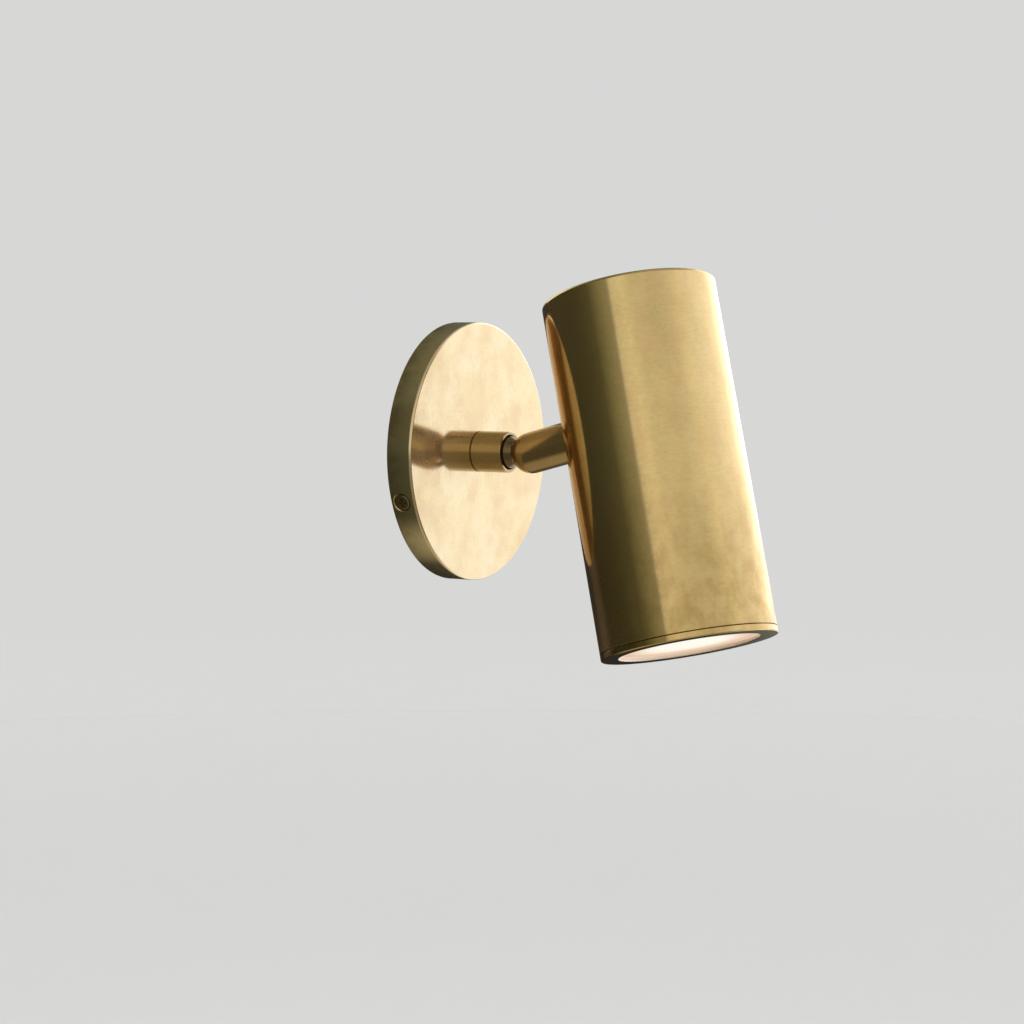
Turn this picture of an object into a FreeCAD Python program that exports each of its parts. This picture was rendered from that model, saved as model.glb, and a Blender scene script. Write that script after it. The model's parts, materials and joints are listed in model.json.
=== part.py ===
import FreeCAD, Part
import os
import re

import Sketcher
from FreeCAD import Vector

# Adjustable wall sconce: round backplate, short arm, ball swivel, stem and a cylinder shade.
# The origin is the centre of the backplate on the wall face. The lamp stands out along -Y and +Z is up.
# Millimetres and degrees. Every turned piece has its axis along the local Z of its own frame.

document = FreeCAD.newDocument("WallSconce")
sheet = document.addObject("Spreadsheet::Sheet", "Sizes")

SIZES = {
    "Backplate, a hollow turned canopy": {
        "plate_diameter": 120.0,
        "plate_depth": 12.5,
        "plate_face": 3.0,
        "plate_rim": 3.2,
        "edge_bevel": 0.5,
        "inner_round": 1.5,
    },
    "Side screws, one at each end of a slanting diameter": {
        "screw_angle": 20.5,
        "screw_inset": 4.0,
        "screw_thread": 4.0,
        "screw_head": 7.3,
        "screw_head_height": 1.7,
        "screw_tail": 1.5,
        "recess_gap": 0.65,
        "recess_depth": 1.9,
        "point_bevel": 0.35,
        "cross_length_share": 0.58,
        "cross_width_share": 0.15,
        "cross_depth_share": 0.6,
        "head_round_share": 0.45,
    },
    "Mounting bracket, pressed steel": {
        "bracket_sheet": 1.6,
        "bracket_gap": 4.8,
        "lead_hole": 22.0,
        "slot_spacing": 79.4,
        "slot_width": 4.8,
        "slot_length": 14.5,
        "ear_width": 14.0,
        "ear_headroom": 1.2,
        "ear_gap": 0.3,
        "bend_radius": 0.9,
        "ground_reach": 32.0,
        "ground_angle": 45.0,
        "ground_thread": 3.5,
        "ground_head": 7.0,
        "ground_head_height": 2.2,
    },
    "Arm": {
        "arm_diameter": 19.05,
        "arm_length": 16.0,
        "mouth_wall": 1.6,
        "mouth_depth": 5.2,
        "mouth_bevel": 0.3,
        "base_bevel": 0.45,
        "web_thickness": 2.4,
        "chamber_wall": 2.0,
        "plug_gap": 0.5,
        "spanner_slot": 1.6,
        "spanner_depth": 1.2,
    },
    "Hollow nipples with their nuts and lock washers": {
        "plug_wall": 2.425,
        "stem_plug_wall": 2.625,
        "nipple_wall": 1.5,
        "nipple_bevel": 0.4,
        "nipple_spare": 1.0,
        "nut_wall": 2.0,
        "nut_thickness": 4.0,
        "washer_width": 3.5,
        "washer_thickness": 0.8,
        "tooth_length": 1.4,
        "tooth_gap": 1.2,
    },
    "Swivel stud": {
        "neck_diameter": 6.1,
        "collar_gap": 0.55,
        "collar_cone": 1.8,
        "collar_flange": 3.4,
        "collar_proud": 0.7,
        "collar_reveal": 1.85,
        "lead_bore": 4.0,
        "bore_flare": 0.8,
        "pin_diameter": 1.2,
        "pin_inset": 1.3,
        "pin_height": 1.2,
        "pin_depth": 1.6,
        "groove_depth": 1.4,
        "turn_limit": 160.0,
        "turn_spare": 0.5,
        "thin_washer": 0.5,
        "friction_width": 1.0,
        "stud_washer_width": 2.6,
        "stud_nut_gap": 0.6,
        "stud_nut_thickness": 2.8,
    },
    "Stem with the socket for the ball": {
        "stem_diameter": 19.05,
        "stem_length": 23.7,
        "socket_wall": 1.8,
        "mouth_lip": 1.45,
        "socket_edge": 0.25,
        "cup_start": 3.5,
        "cup_length": 5.8,
        "cup_bore": 6.8,
        "spring_sheet": 0.5,
        "spring_rise": 0.45,
        "spring_bore": 7.6,
        "stem_plug_length": 8.6,
        "nipple_inset": 6.0,
    },
    "Shade": {
        "rest_tilt": 15.1,
        "rest_twist": -7.2,
        "shade_diameter": 79.2,
        "shade_wall": 1.6,
        "shade_rise": 58.4,
        "shade_drop": 103.9,
        "shade_top": 2.0,
        "top_round": 1.5,
        "seam_bevel": 0.2,
        "ring_height": 3.1,
        "ring_bevel": 0.4,
        "seam_gap": 0.2,
        "thread_step": 0.7,
        "thread_depth": 5.0,
    },
    "Lens, gasket and reflector": {
        "lip_width": 8.1,
        "lip_thickness": 1.6,
        "lip_bevel": 0.4,
        "spigot_wall": 3.3,
        "lens_thickness": 3.2,
        "lens_bevel": 0.5,
        "gasket_width": 2.2,
        "reflector_sheet": 0.8,
        "cone_step": 1.0,
        "throat_gap": 1.3,
        "throat_collar": 2.0,
    },
    "Lamp, lampholder and their bracket": {
        "strap_sheet": 1.2,
        "strap_width": 16.0,
        "strap_drop": 9.0,
        "strap_rise": 24.0,
        "strap_reach": 13.0,
        "strap_bend": 2.0,
        "holder_diameter": 29.0,
        "holder_waist": 24.0,
        "holder_height": 22.0,
        "holder_flange": 13.0,
        "holder_round": 1.0,
        "holder_screw_spacing": 15.0,
        "small_thread": 3.0,
        "small_head": 5.6,
        "small_head_height": 1.9,
        "small_screw_length": 7.0,
        "lamp_length": 54.0,
        "lamp_diameter": 50.0,
        "lamp_rim": 8.0,
        "lamp_bevel": 1.6,
        "lamp_bowl": 26.0,
        "lamp_bowl_curve": 48.0,
        "lamp_neck": 27.0,
        "pin_spacing": 10.0,
        "contact_pin": 3.0,
        "contact_head": 4.8,
        "contact_head_height": 2.2,
        "contact_length": 6.6,
        "contact_well": 8.0,
    },
    "Clearances": {
        "thread_gap": 0.05,
        "hole_gap": 0.2,
        "running_gap": 0.08,
        "axial_gap": 0.1,
        "ball_gap": 0.15,
        "swivel_gap": 0.33,
        "ring_gap": 0.1,
        "saddle_overrun": 6.0,
    },
}


def fill_sheet():
    """Write each group of sizes in the sheet, with a heading row and one alias per size."""
    row = 1
    for heading, group in SIZES.items():
        sheet.set(f"A{row}", heading)
        row += 1
        for alias, value in group.items():
            sheet.set(f"A{row}", alias)
            sheet.set(f"B{row}", str(value))
            sheet.setAlias(f"B{row}", alias)
            row += 1
    document.recompute()


def bind(text):
    """Return an expression in which every size is read from the sheet."""
    return re.sub(r"\b[a-z]+(?:_[a-z]+)+\b", lambda word: "Sizes." + word.group(), text)


def value_of(text):
    """Work out an expression of sizes."""
    return float(sheet.evalExpression(text))


def origin_feature(body, role):
    """Find a body's own origin plane or axis."""
    return next(item for item in body.Origin.OriginFeatures if item.Role == role)


def new_body(name, place):
    """Start a sub-part whose placement is bound to the sheet."""
    body = document.addObject("PartDesign::Body", name)
    body.setExpression("Placement", bind(place))
    return body


def new_sketch(body, name, plane, lift="0", turn="0"):
    """Attach a sketch to one of the body's origin planes, lifted and turned in that plane."""
    sketch = body.newObject("Sketcher::SketchObject", name)
    sketch.AttachmentSupport = (origin_feature(body, plane), "")
    sketch.MapMode = "FlatFace"
    offset = f"create(<<vector>>; 0; 0; {lift}); create(<<rotation>>; create(<<vector>>; 0; 0; 1); {turn})"
    sketch.setExpression("AttachmentOffset", bind(f"create(<<placement>>; {offset})"))
    return sketch


def fix_point(sketch, geometry, point, x_text, y_text):
    """Hold one point of a sketch at two expressions, measured from the sketch's origin."""
    for kind, axis, text in (("DistanceX", -2, x_text), ("DistanceY", -1, y_text)):
        if text == "0":
            sketch.addConstraint(Sketcher.Constraint("PointOnObject", geometry, point, axis))
            continue
        index = sketch.addConstraint(
            Sketcher.Constraint(kind, -1, 1, geometry, point, value_of(text))
        )
        sketch.setExpression(f"Constraints[{index}]", bind(text))


def add_outline(sketch, corners):
    """Draw a closed outline. A corner is (x, y), or (x, y, radius, centre x, centre y) before an arc."""
    spots = [Vector(value_of(corner[0]), value_of(corner[1]), 0) for corner in corners]
    ends = []
    for number, corner in enumerate(corners):
        start = spots[number]
        end = spots[(number + 1) % len(corners)]
        if len(corner) == 2:
            index = sketch.addGeometry(Part.LineSegment(start, end), False)
            ends.append((index, 1, 2))
            continue
        radius, centre = corner[2], Vector(value_of(corner[3]), value_of(corner[4]), 0)
        forward = (start - centre).cross(end - centre).z > 0
        first, last = (start, end) if forward else (end, start)
        first_angle = Vector(1, 0, 0).getAngle(first - centre)
        last_angle = Vector(1, 0, 0).getAngle(last - centre)
        if first.y < centre.y:
            first_angle = -first_angle
        if last.y < centre.y:
            last_angle = -last_angle
        circle = Part.Circle(centre, Vector(0, 0, 1), value_of(radius))
        index = sketch.addGeometry(Part.ArcOfCircle(circle, first_angle, last_angle), False)
        ends.append((index, 1, 2) if forward else (index, 2, 1))
        bound = sketch.addConstraint(Sketcher.Constraint("Radius", index, value_of(radius)))
        sketch.setExpression(f"Constraints[{bound}]", bind(radius))
    for number, (index, start_point, end_point) in enumerate(ends):
        following = ends[(number + 1) % len(ends)]
        sketch.addConstraint(
            Sketcher.Constraint("Coincident", index, end_point, following[0], following[1])
        )
        fix_point(sketch, index, start_point, corners[number][0], corners[number][1])


def add_circle(sketch, x_text, y_text, radius):
    """Draw a circle with its centre and radius bound to the sheet."""
    centre = Vector(value_of(x_text), value_of(y_text), 0)
    index = sketch.addGeometry(Part.Circle(centre, Vector(0, 0, 1), value_of(radius)), False)
    bound = sketch.addConstraint(Sketcher.Constraint("Radius", index, value_of(radius)))
    sketch.setExpression(f"Constraints[{bound}]", bind(radius))
    fix_point(sketch, index, 3, x_text, y_text)


def turn_profile(body, corners, name="Turned"):
    """Turn a closed profile of radius and height round the body's Z axis."""
    sketch = new_sketch(body, name + "Profile", "XZ_Plane")
    add_outline(sketch, corners)
    turned = body.newObject("PartDesign::Revolution", name)
    turned.Profile = sketch
    turned.ReferenceAxis = (sketch, ["V_Axis"])
    return turned


def pad(body, sketch, length, name, symmetric=False):
    """Pad a sketch by a bound length."""
    padded = body.newObject("PartDesign::Pad", name)
    padded.Profile = sketch
    if symmetric:
        padded.SideType = "Symmetric"
    padded.setExpression("Length", bind(length))
    return padded


def pocket_through(body, sketch, name):
    """Cut a sketch right through the body, both ways."""
    pocket = body.newObject("PartDesign::Pocket", name)
    pocket.Profile = sketch
    pocket.SideType = "Symmetric"
    pocket.Type = "ThroughAll"
    return pocket


def pocket_depth(body, sketch, depth, name, outward=False):
    """Cut a sketch to a bound depth, and check that it took material away."""
    before = volume_so_far(body)
    pocket = body.newObject("PartDesign::Pocket", name)
    pocket.Profile = sketch
    pocket.setExpression("Length", bind(depth))
    pocket.Reversed = outward
    after = volume_so_far(body)
    if after >= before:
        raise RuntimeError(f"{body.Name}.{name} cuts nothing")
    return pocket


def volume_so_far(body):
    """Recompute the document and return the body's volume."""
    document.recompute()
    return body.Shape.Volume


def polar(body, features, count, name):
    """Repeat features evenly round the body's Z axis."""
    pattern = body.newObject("PartDesign::PolarPattern", name)
    pattern.Originals = features
    pattern.Axis = (origin_feature(body, "Z_Axis"), [""])
    pattern.Angle = 360
    pattern.Occurrences = count
    body.Tip = pattern
    return pattern


def mirror(body, features, name):
    """Repeat features on the other side of the body's YZ plane."""
    copied = body.newObject("PartDesign::Mirrored", name)
    copied.Originals = features
    copied.MirrorPlane = (origin_feature(body, "YZ_Plane"), [""])
    body.Tip = copied
    return copied


def group(name, bodies):
    """Join identical solids in one node."""
    joined = document.addObject("Part::Compound", name)
    joined.Links = bodies
    return joined


# Frames of the sub-parts. Wall pieces look out of the wall, stem pieces along the tilted stem from
# the ball's centre, and shade pieces up the shade's own axis from the level of the stem.


def move(x_text, y_text, z_text):
    """Placement expression of a shift."""
    return (
        f"create(<<placement>>; create(<<vector>>; {x_text}; {y_text}; {z_text}); "
        "create(<<rotation>>; create(<<vector>>; 0; 0; 1); 0))"
    )


def spin(axis_text, angle_text):
    """Placement expression of a turn about an axis through the origin."""
    return (
        "create(<<placement>>; create(<<vector>>; 0; 0; 0); "
        f"create(<<rotation>>; create(<<vector>>; {axis_text}); {angle_text}))"
    )


PIVOT = "(plate_depth + arm_length + collar_reveal + swivel_gap + stem_diameter / 2)"
STEM_TO_AXIS = "(stem_length + shade_diameter / 2)"
OUT_OF_WALL = spin("1; 0; 0", "90")
ALONG_STEM = " * ".join(
    (move("0", f"-{PIVOT}", "0"), spin("1; 0; 0", "90 - rest_tilt"), spin("0; 0; 1", "rest_twist"))
)
UP_SHADE = " * ".join((ALONG_STEM, move("0", "0", STEM_TO_AXIS), spin("1; 0; 0", "-90")))

# Levels and radii that several pieces share
FACE_BACK = "(plate_depth - plate_face)"
RIM_INSIDE = "(plate_diameter / 2 - plate_rim)"
BRACKET_EDGE = f"({RIM_INSIDE} - bracket_gap)"
EAR_FACE = f"(sqrt({RIM_INSIDE} * {RIM_INSIDE} - ear_width * ear_width / 4) - ear_gap)"
SCREW_LEVEL = f"({FACE_BACK} - screw_inset)"
MOUTH = "(arm_diameter / 2 - mouth_wall)"
CHAMBER = "(arm_diameter / 2 - chamber_wall)"
ARM_NIPPLE = f"({CHAMBER} - 2 * thread_gap - plug_wall)"
PLATE_HOLE = f"({ARM_NIPPLE} + hole_gap)"
COLLAR = f"({MOUTH} - collar_gap)"
SHANK = f"({COLLAR} - collar_flange)"
PIN_CIRCLE = f"({COLLAR} - pin_inset)"
ARM_END = "(plate_depth + arm_length)"
WEB_FRONT = f"({ARM_END} - mouth_depth)"
WEB_BACK = f"({WEB_FRONT} - web_thickness)"
COLLAR_BACK = f"({WEB_FRONT} + thin_washer + axial_gap)"
STUD_WASHER_BACK = f"({WEB_BACK} - axial_gap - thin_washer)"
STUD_NUT_BACK = f"({STUD_WASHER_BACK} - stud_nut_thickness)"
STUD_END = f"({STUD_NUT_BACK} - axial_gap)"
ARM_PLUG_END = f"({STUD_END} - plug_gap)"
SWIVEL_RADIUS = "(stem_diameter / 2 + swivel_gap)"
SOCKET_BORE = "(stem_diameter / 2 - socket_wall)"
STEM_NIPPLE = f"({SOCKET_BORE} - 2 * thread_gap - stem_plug_wall)"
SOCKET_MOUTH = f"({SOCKET_BORE} - mouth_lip)"
BALL = f"({SOCKET_BORE} - ball_gap)"
SHADE_INSIDE = "(shade_diameter / 2 - shade_wall)"
STRAP_BACK = f"sqrt({SHADE_INSIDE} * {SHADE_INSIDE} - strap_width * strap_width / 4)"
STRAP_FRONT = f"({STEM_TO_AXIS} - {STRAP_BACK} + strap_sheet)"
SHADE_MOUTH = "(ring_height - shade_drop)"
THREAD_TOP = f"({SHADE_MOUTH} + thread_depth)"
THREAD_RADIUS = f"({SHADE_INSIDE} + thread_step)"
SPIGOT_TOP = f"({THREAD_TOP} - reflector_sheet - ring_gap)"
OPENING = "(shade_diameter / 2 - lip_width)"
CONE_FOOT = f"({OPENING} + cone_step)"
SPIGOT = f"({THREAD_RADIUS} - ring_gap)"
POCKET = f"({SPIGOT} - spigot_wall)"
LENS_RADIUS = f"({POCKET} - ring_gap)"
LENS_BACK = "(lip_thickness - shade_drop + thread_gap)"
LENS_FRONT = f"({LENS_BACK} + lens_thickness)"
HOLDER_BASE = "(strap_rise - holder_height)"
LAMP_FACE = f"({HOLDER_BASE} - lamp_length)"


def ring(name, place, inner, outer, low, high):
    """Turn a flat ring from its two radii and its two levels."""
    body = new_body(name, place)
    turn_profile(body, [(inner, low), (outer, low), (outer, high), (inner, high)])
    return body


def nipple(name, place, outer, low, high):
    """Turn a hollow threaded nipple with bevelled ends."""
    body = new_body(name, place)
    inner = f"{outer} - nipple_wall"
    turn_profile(
        body,
        [
            (inner, low),
            (f"{outer} - nipple_bevel", low),
            (outer, f"{low} + nipple_bevel"),
            (outer, f"{high} - nipple_bevel"),
            (f"{outer} - nipple_bevel", high),
            (inner, high),
        ],
    )
    return body


def hex_nut(name, place, flats, thickness, thread_radius, low):
    """Pad a hexagon round a bore and turn its corners down at 30 degrees."""
    body = new_body(name, place)
    sketch = new_sketch(body, "Hexagon", "XY_Plane", lift=low)
    across = f"{flats} / 2"
    corner = f"{flats} / sqrt(3)"
    half = f"{flats} / sqrt(12)"
    add_outline(
        sketch,
        [
            (corner, "0"),
            (half, across),
            (f"-{half}", across),
            (f"-{corner}", "0"),
            (f"-{half}", f"-{across}"),
            (half, f"-{across}"),
        ],
    )
    add_circle(sketch, "0", "0", f"{thread_radius} + thread_gap")
    pad(body, sketch, thickness, "Hexagonal")
    drop = f"({corner} - {across}) / sqrt(3)"
    profile = new_sketch(body, "CornerProfile", "XZ_Plane")
    top = f"{low} + {thickness}"
    add_outline(profile, [(across, top), (corner, f"{top} - {drop}"), (corner, top)])
    corners = body.newObject("PartDesign::Groove", "TurnedCorners")
    corners.Profile = profile
    corners.ReferenceAxis = (profile, ["V_Axis"])
    return body


def lock_washer(name, place, nipple_radius, low):
    """Pad a washer and notch its bore into teeth."""
    body = new_body(name, place)
    sketch = new_sketch(body, "Blank", "XY_Plane", lift=low)
    add_circle(sketch, "0", "0", f"{nipple_radius} + washer_width")
    add_circle(sketch, "0", "0", f"{nipple_radius} + thread_gap")
    pad(body, sketch, "washer_thickness", "Washer")
    notch = new_sketch(body, "Notch", "XY_Plane")
    reach = f"{nipple_radius} + tooth_length"
    half = "tooth_gap / 2"
    add_outline(
        notch,
        [("0", f"-{half}"), (reach, f"-{half}"), (reach, half), ("0", half)],
    )
    teeth = 12
    polar(body, [pocket_through(body, notch, "ToothGap")], teeth, "ToothGaps")
    return body


def cross_screw(name, place, thread, head, height, length):
    """Turn a pan-head screw, head up from zero, and cut its cross recess."""
    body = new_body(name, place)
    edge = f"{height} * head_round_share"
    turn_profile(
        body,
        [
            ("0", f"-{length}"),
            (f"{thread} / 2 - point_bevel", f"-{length}"),
            (f"{thread} / 2", f"point_bevel - {length}"),
            (f"{thread} / 2", "0"),
            (f"{head} / 2", "0"),
            (f"{head} / 2", f"{height} - {edge}", edge, f"{head} / 2 - {edge}", f"{height} - {edge}"),
            (f"{head} / 2 - {edge}", height),
            ("0", height),
        ],
    )
    reach = f"{head} * cross_length_share / 2"
    half = f"{head} * cross_width_share / 2"
    cross = new_sketch(body, "Cross", "XY_Plane", lift=height)
    add_outline(
        cross,
        [
            (reach, f"-{half}"),
            (reach, half),
            (half, half),
            (half, reach),
            (f"-{half}", reach),
            (f"-{half}", half),
            (f"-{reach}", half),
            (f"-{reach}", f"-{half}"),
            (f"-{half}", f"-{half}"),
            (f"-{half}", f"-{reach}"),
            (half, f"-{reach}"),
            (half, f"-{half}"),
        ],
    )
    pocket_depth(body, cross, f"{height} * cross_depth_share", "CrossRecess")
    return body


def backplate():
    """Turn the hollow canopy and sink the two side screws in its rim."""
    body = new_body("backplate", " * ".join((OUT_OF_WALL, spin("0; 0; 1", "screw_angle"))))
    radius = "plate_diameter / 2"
    corner = f"{RIM_INSIDE} - inner_round"
    turn_profile(
        body,
        [
            (PLATE_HOLE, FACE_BACK),
            (PLATE_HOLE, "plate_depth"),
            (f"{radius} - edge_bevel", "plate_depth"),
            (radius, "plate_depth - edge_bevel"),
            (radius, "0"),
            (RIM_INSIDE, "0"),
            (RIM_INSIDE, f"{FACE_BACK} - inner_round", "inner_round", corner,
             f"{FACE_BACK} - inner_round"),
            (corner, FACE_BACK),
        ],
    )
    hole = new_sketch(body, "ScrewHole", "YZ_Plane")
    add_circle(hole, "0", SCREW_LEVEL, "screw_thread / 2 + hole_gap")
    pocket_through(body, hole, "ScrewHoles")
    recess = new_sketch(body, "HeadRecess", "YZ_Plane", lift=f"{radius} - recess_depth")
    add_circle(recess, "0", SCREW_LEVEL, "screw_head / 2 + recess_gap")
    cut = pocket_depth(body, recess, "plate_rim", "ScrewRecess", outward=True)
    mirror(body, [cut], "ScrewRecesses")
    return body


def side_screw(name, turn):
    """One side screw, its head flush in the rim and its tail through the bracket's ear."""
    seat = "(plate_diameter / 2 - recess_depth)"
    place = " * ".join(
        (
            OUT_OF_WALL,
            spin("0; 0; 1", f"screw_angle + {turn}"),
            move(seat, "0", SCREW_LEVEL),
            spin("0; 1; 0", "90"),
        )
    )
    length = f"({seat} - {EAR_FACE} + bracket_sheet + screw_tail)"
    return cross_screw(name, place, "screw_thread", "screw_head", "screw_head_height", length)


def mounting_bracket():
    """Press the bracket from sheet: a slotted disc with two bent, tapped ears."""
    body = new_body("mounting_bracket", " * ".join((OUT_OF_WALL, spin("0; 0; 1", "screw_angle"))))
    disc = new_sketch(body, "Blank", "XY_Plane")
    add_circle(disc, "0", "0", BRACKET_EDGE)
    add_circle(disc, "0", "0", "lead_hole / 2")
    pad(body, disc, "bracket_sheet", "Disc")
    bend = "(bend_radius + bracket_sheet)"
    inside = f"({EAR_FACE} - bracket_sheet)"
    root = f"({BRACKET_EDGE} - ear_width / 2)"
    ear_top = f"({FACE_BACK} - ear_headroom)"
    ear = new_sketch(body, "EarProfile", "XZ_Plane")
    add_outline(
        ear,
        [
            (root, "0"),
            (f"{EAR_FACE} - {bend}", "0", bend, f"{EAR_FACE} - {bend}", bend),
            (EAR_FACE, bend),
            (EAR_FACE, ear_top),
            (inside, ear_top),
            (inside, bend, "bend_radius", f"{EAR_FACE} - {bend}", bend),
            (f"{EAR_FACE} - {bend}", "bracket_sheet"),
            (root, "bracket_sheet"),
        ],
    )
    mirror(body, [pad(body, ear, "ear_width", "Ear", symmetric=True)], "Ears")
    tapping = new_sketch(body, "EarHole", "YZ_Plane")
    add_circle(tapping, "0", SCREW_LEVEL, "screw_thread / 2 + thread_gap")
    pocket_through(body, tapping, "EarHoles")
    slot = new_sketch(body, "Slot", "XY_Plane", turn="-screw_angle")
    half = "slot_width / 2"
    near = "(slot_spacing / 2 - slot_length / 2 + slot_width / 2)"
    far = "(slot_spacing / 2 + slot_length / 2 - slot_width / 2)"
    add_outline(
        slot,
        [
            (near, f"-{half}"),
            (far, f"-{half}", half, far, "0"),
            (f"{far} + {half}", "0", half, far, "0"),
            (far, half),
            (near, half, half, near, "0"),
            (f"{near} - {half}", "0", half, near, "0"),
        ],
    )
    slots = 4
    polar(body, [pocket_through(body, slot, "BoxSlot")], slots, "BoxSlots")
    ground = new_sketch(body, "GroundHole", "XY_Plane")
    direction = "((ground_angle - screw_angle) * 1 deg)"
    add_circle(
        ground,
        f"ground_reach * cos{direction}",
        f"ground_reach * sin{direction}",
        "ground_thread / 2 + thread_gap",
    )
    body.Tip = pocket_through(body, ground, "GroundTapping")
    return body


def ground_screw():
    """The earthing screw, its head on the bracket's room side."""
    place = " * ".join(
        (
            OUT_OF_WALL,
            spin("0; 0; 1", "ground_angle"),
            move("ground_reach", "0", "bracket_sheet"),
        )
    )
    return cross_screw(
        "ground_screw", place, "ground_thread", "ground_head", "ground_head_height", "bracket_sheet"
    )


def arm_tube():
    """Turn the arm: open mouth, web for the stud's shank, threaded chamber for the plug."""
    body = new_body("arm_tube", OUT_OF_WALL)
    outer = "arm_diameter / 2"
    bore = f"{SHANK} + running_gap"
    turn_profile(
        body,
        [
            (CHAMBER, "plate_depth"),
            (f"{outer} - base_bevel", "plate_depth"),
            (outer, "plate_depth + base_bevel"),
            (outer, f"{ARM_END} - mouth_bevel"),
            (f"{outer} - mouth_bevel", ARM_END),
            (f"{MOUTH} + mouth_bevel", ARM_END),
            (MOUTH, f"{ARM_END} - mouth_bevel"),
            (MOUTH, WEB_FRONT),
            (bore, WEB_FRONT),
            (bore, WEB_BACK),
            (CHAMBER, WEB_BACK),
        ],
    )
    hole = new_sketch(body, "PinHole", "XY_Plane", lift=f"{WEB_FRONT} - pin_depth")
    add_circle(hole, PIN_CIRCLE, "0", "pin_diameter / 2 + thread_gap")
    pocket_depth(body, hole, "mouth_depth", "PinHole", outward=True)
    return body


def threaded_plug(name, place, nipple_radius, radius, low, high):
    """Turn a bush threaded for the nipple, with a spanner slot across its outer end."""
    body = new_body(name, place)
    bore = f"{nipple_radius} + thread_gap"
    turn_profile(
        body,
        [
            (bore, low),
            (f"{radius} - nipple_bevel", low),
            (radius, f"{low} + nipple_bevel"),
            (radius, high),
            (bore, high),
        ],
    )
    slot = new_sketch(body, "SpannerSlot", "XY_Plane", lift=high)
    half = "spanner_slot / 2"
    add_outline(
        slot,
        [
            (f"-{radius}", f"-{half}"),
            (radius, f"-{half}"),
            (radius, half),
            (f"-{radius}", half),
        ],
    )
    pocket_depth(body, slot, "spanner_depth", "SpannerSlots")
    return body


def swivel_face(radius):
    """Height at a radius of the hollow face that the stem's round end swings past."""
    return f"{PIVOT} - sqrt({SWIVEL_RADIUS} * {SWIVEL_RADIUS} - {radius} * {radius})"


def ball_stud():
    """Turn ball, neck and shank in one piece and bore it for the leads."""
    body = new_body("ball_stud", OUT_OF_WALL)
    bore = "(lead_bore / 2)"
    neck = "(neck_diameter / 2)"
    nose = f"sqrt({BALL} * {BALL} - {neck} * {neck})"
    turn_profile(
        body,
        [
            (bore, STUD_END),
            (SHANK, STUD_END),
            (SHANK, swivel_face(SHANK), SWIVEL_RADIUS, "0", PIVOT),
            (neck, swivel_face(neck)),
            (neck, f"{PIVOT} - {nose}", BALL, "0", PIVOT),
            (BALL, PIVOT, BALL, "0", PIVOT),
            (neck, f"{PIVOT} + {nose}"),
            (f"{bore} + bore_flare", f"{PIVOT} + {nose}"),
            (bore, f"{PIVOT} + {nose} - bore_flare"),
        ],
    )
    return body


def swivel_collar():
    """Turn the collar that screws on the shank, and cut the stop groove in its back."""
    body = new_body("swivel_collar", OUT_OF_WALL)
    bore = f"({SHANK} + thread_gap)"
    tip = f"({COLLAR} - collar_cone)"
    turn_profile(
        body,
        [
            (bore, COLLAR_BACK),
            (COLLAR, COLLAR_BACK),
            (COLLAR, f"{ARM_END} + collar_proud"),
            (tip, swivel_face(tip), SWIVEL_RADIUS, "0", PIVOT),
            (bore, swivel_face(bore)),
        ],
    )
    profile = new_sketch(body, "StopGrooveProfile", "XZ_Plane")
    inner = f"{PIN_CIRCLE} - pin_diameter / 2 - hole_gap"
    outer = f"{PIN_CIRCLE} + pin_diameter / 2 + hole_gap"
    add_outline(
        profile,
        [
            (inner, COLLAR_BACK),
            (outer, COLLAR_BACK),
            (outer, f"{COLLAR_BACK} + groove_depth"),
            (inner, f"{COLLAR_BACK} + groove_depth"),
        ],
    )
    before = volume_so_far(body)
    groove = body.newObject("PartDesign::Groove", "StopGroove")
    groove.Profile = profile
    groove.ReferenceAxis = (profile, ["V_Axis"])
    groove.Midplane = True
    pin_angle = f"2 * asin(pin_diameter / (2 * {PIN_CIRCLE}))"
    groove.setExpression("Angle", bind(f"2 * (turn_limit + turn_spare) * 1 deg + {pin_angle}"))
    if volume_so_far(body) >= before:
        raise RuntimeError("the stop groove cuts nothing")
    return body


def stop_pin():
    """The pin in the arm's web that runs in the collar's groove."""
    body = new_body("stop_pin", OUT_OF_WALL)
    sketch = new_sketch(body, "PinSection", "XY_Plane", lift=f"{WEB_FRONT} - pin_depth")
    add_circle(sketch, PIN_CIRCLE, "0", "pin_diameter / 2")
    pad(body, sketch, "pin_depth + pin_height", "Pin")
    return body


def ball_cup():
    """Turn the nylon cup whose hollow seat bears on the ball."""
    body = new_body("ball_cup", ALONG_STEM)
    seat = SOCKET_BORE
    bore = "cup_bore / 2"
    end = "cup_start + cup_length"
    turn_profile(
        body,
        [
            (f"sqrt({seat} * {seat} - cup_start * cup_start)", "cup_start"),
            (BALL, "cup_start"),
            (BALL, end),
            (bore, end),
            (bore, f"sqrt({seat} * {seat} - cup_bore * cup_bore / 4)", seat, "0", "0"),
        ],
    )
    return body


def disc_spring(name, low, upward):
    """Turn one disc spring, a shallow cone of spring steel."""
    body = new_body(name, ALONG_STEM)
    outer = f"{BALL} - ball_gap"
    inner = "spring_bore / 2"
    high = f"{low} + spring_rise"
    near, far = (low, high) if upward else (high, low)
    turn_profile(
        body,
        [
            (inner, far),
            (outer, near),
            (outer, f"{near} + spring_sheet"),
            (inner, f"{far} + spring_sheet"),
        ],
    )
    return body


SPRING_START = "(cup_start + cup_length + thread_gap)"
SPRING_PAIR = "(2 * spring_sheet + 2 * spring_rise + thread_gap)"
STEM_PLUG_START = f"({SPRING_START} + {SPRING_PAIR} + thread_gap)"


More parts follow.
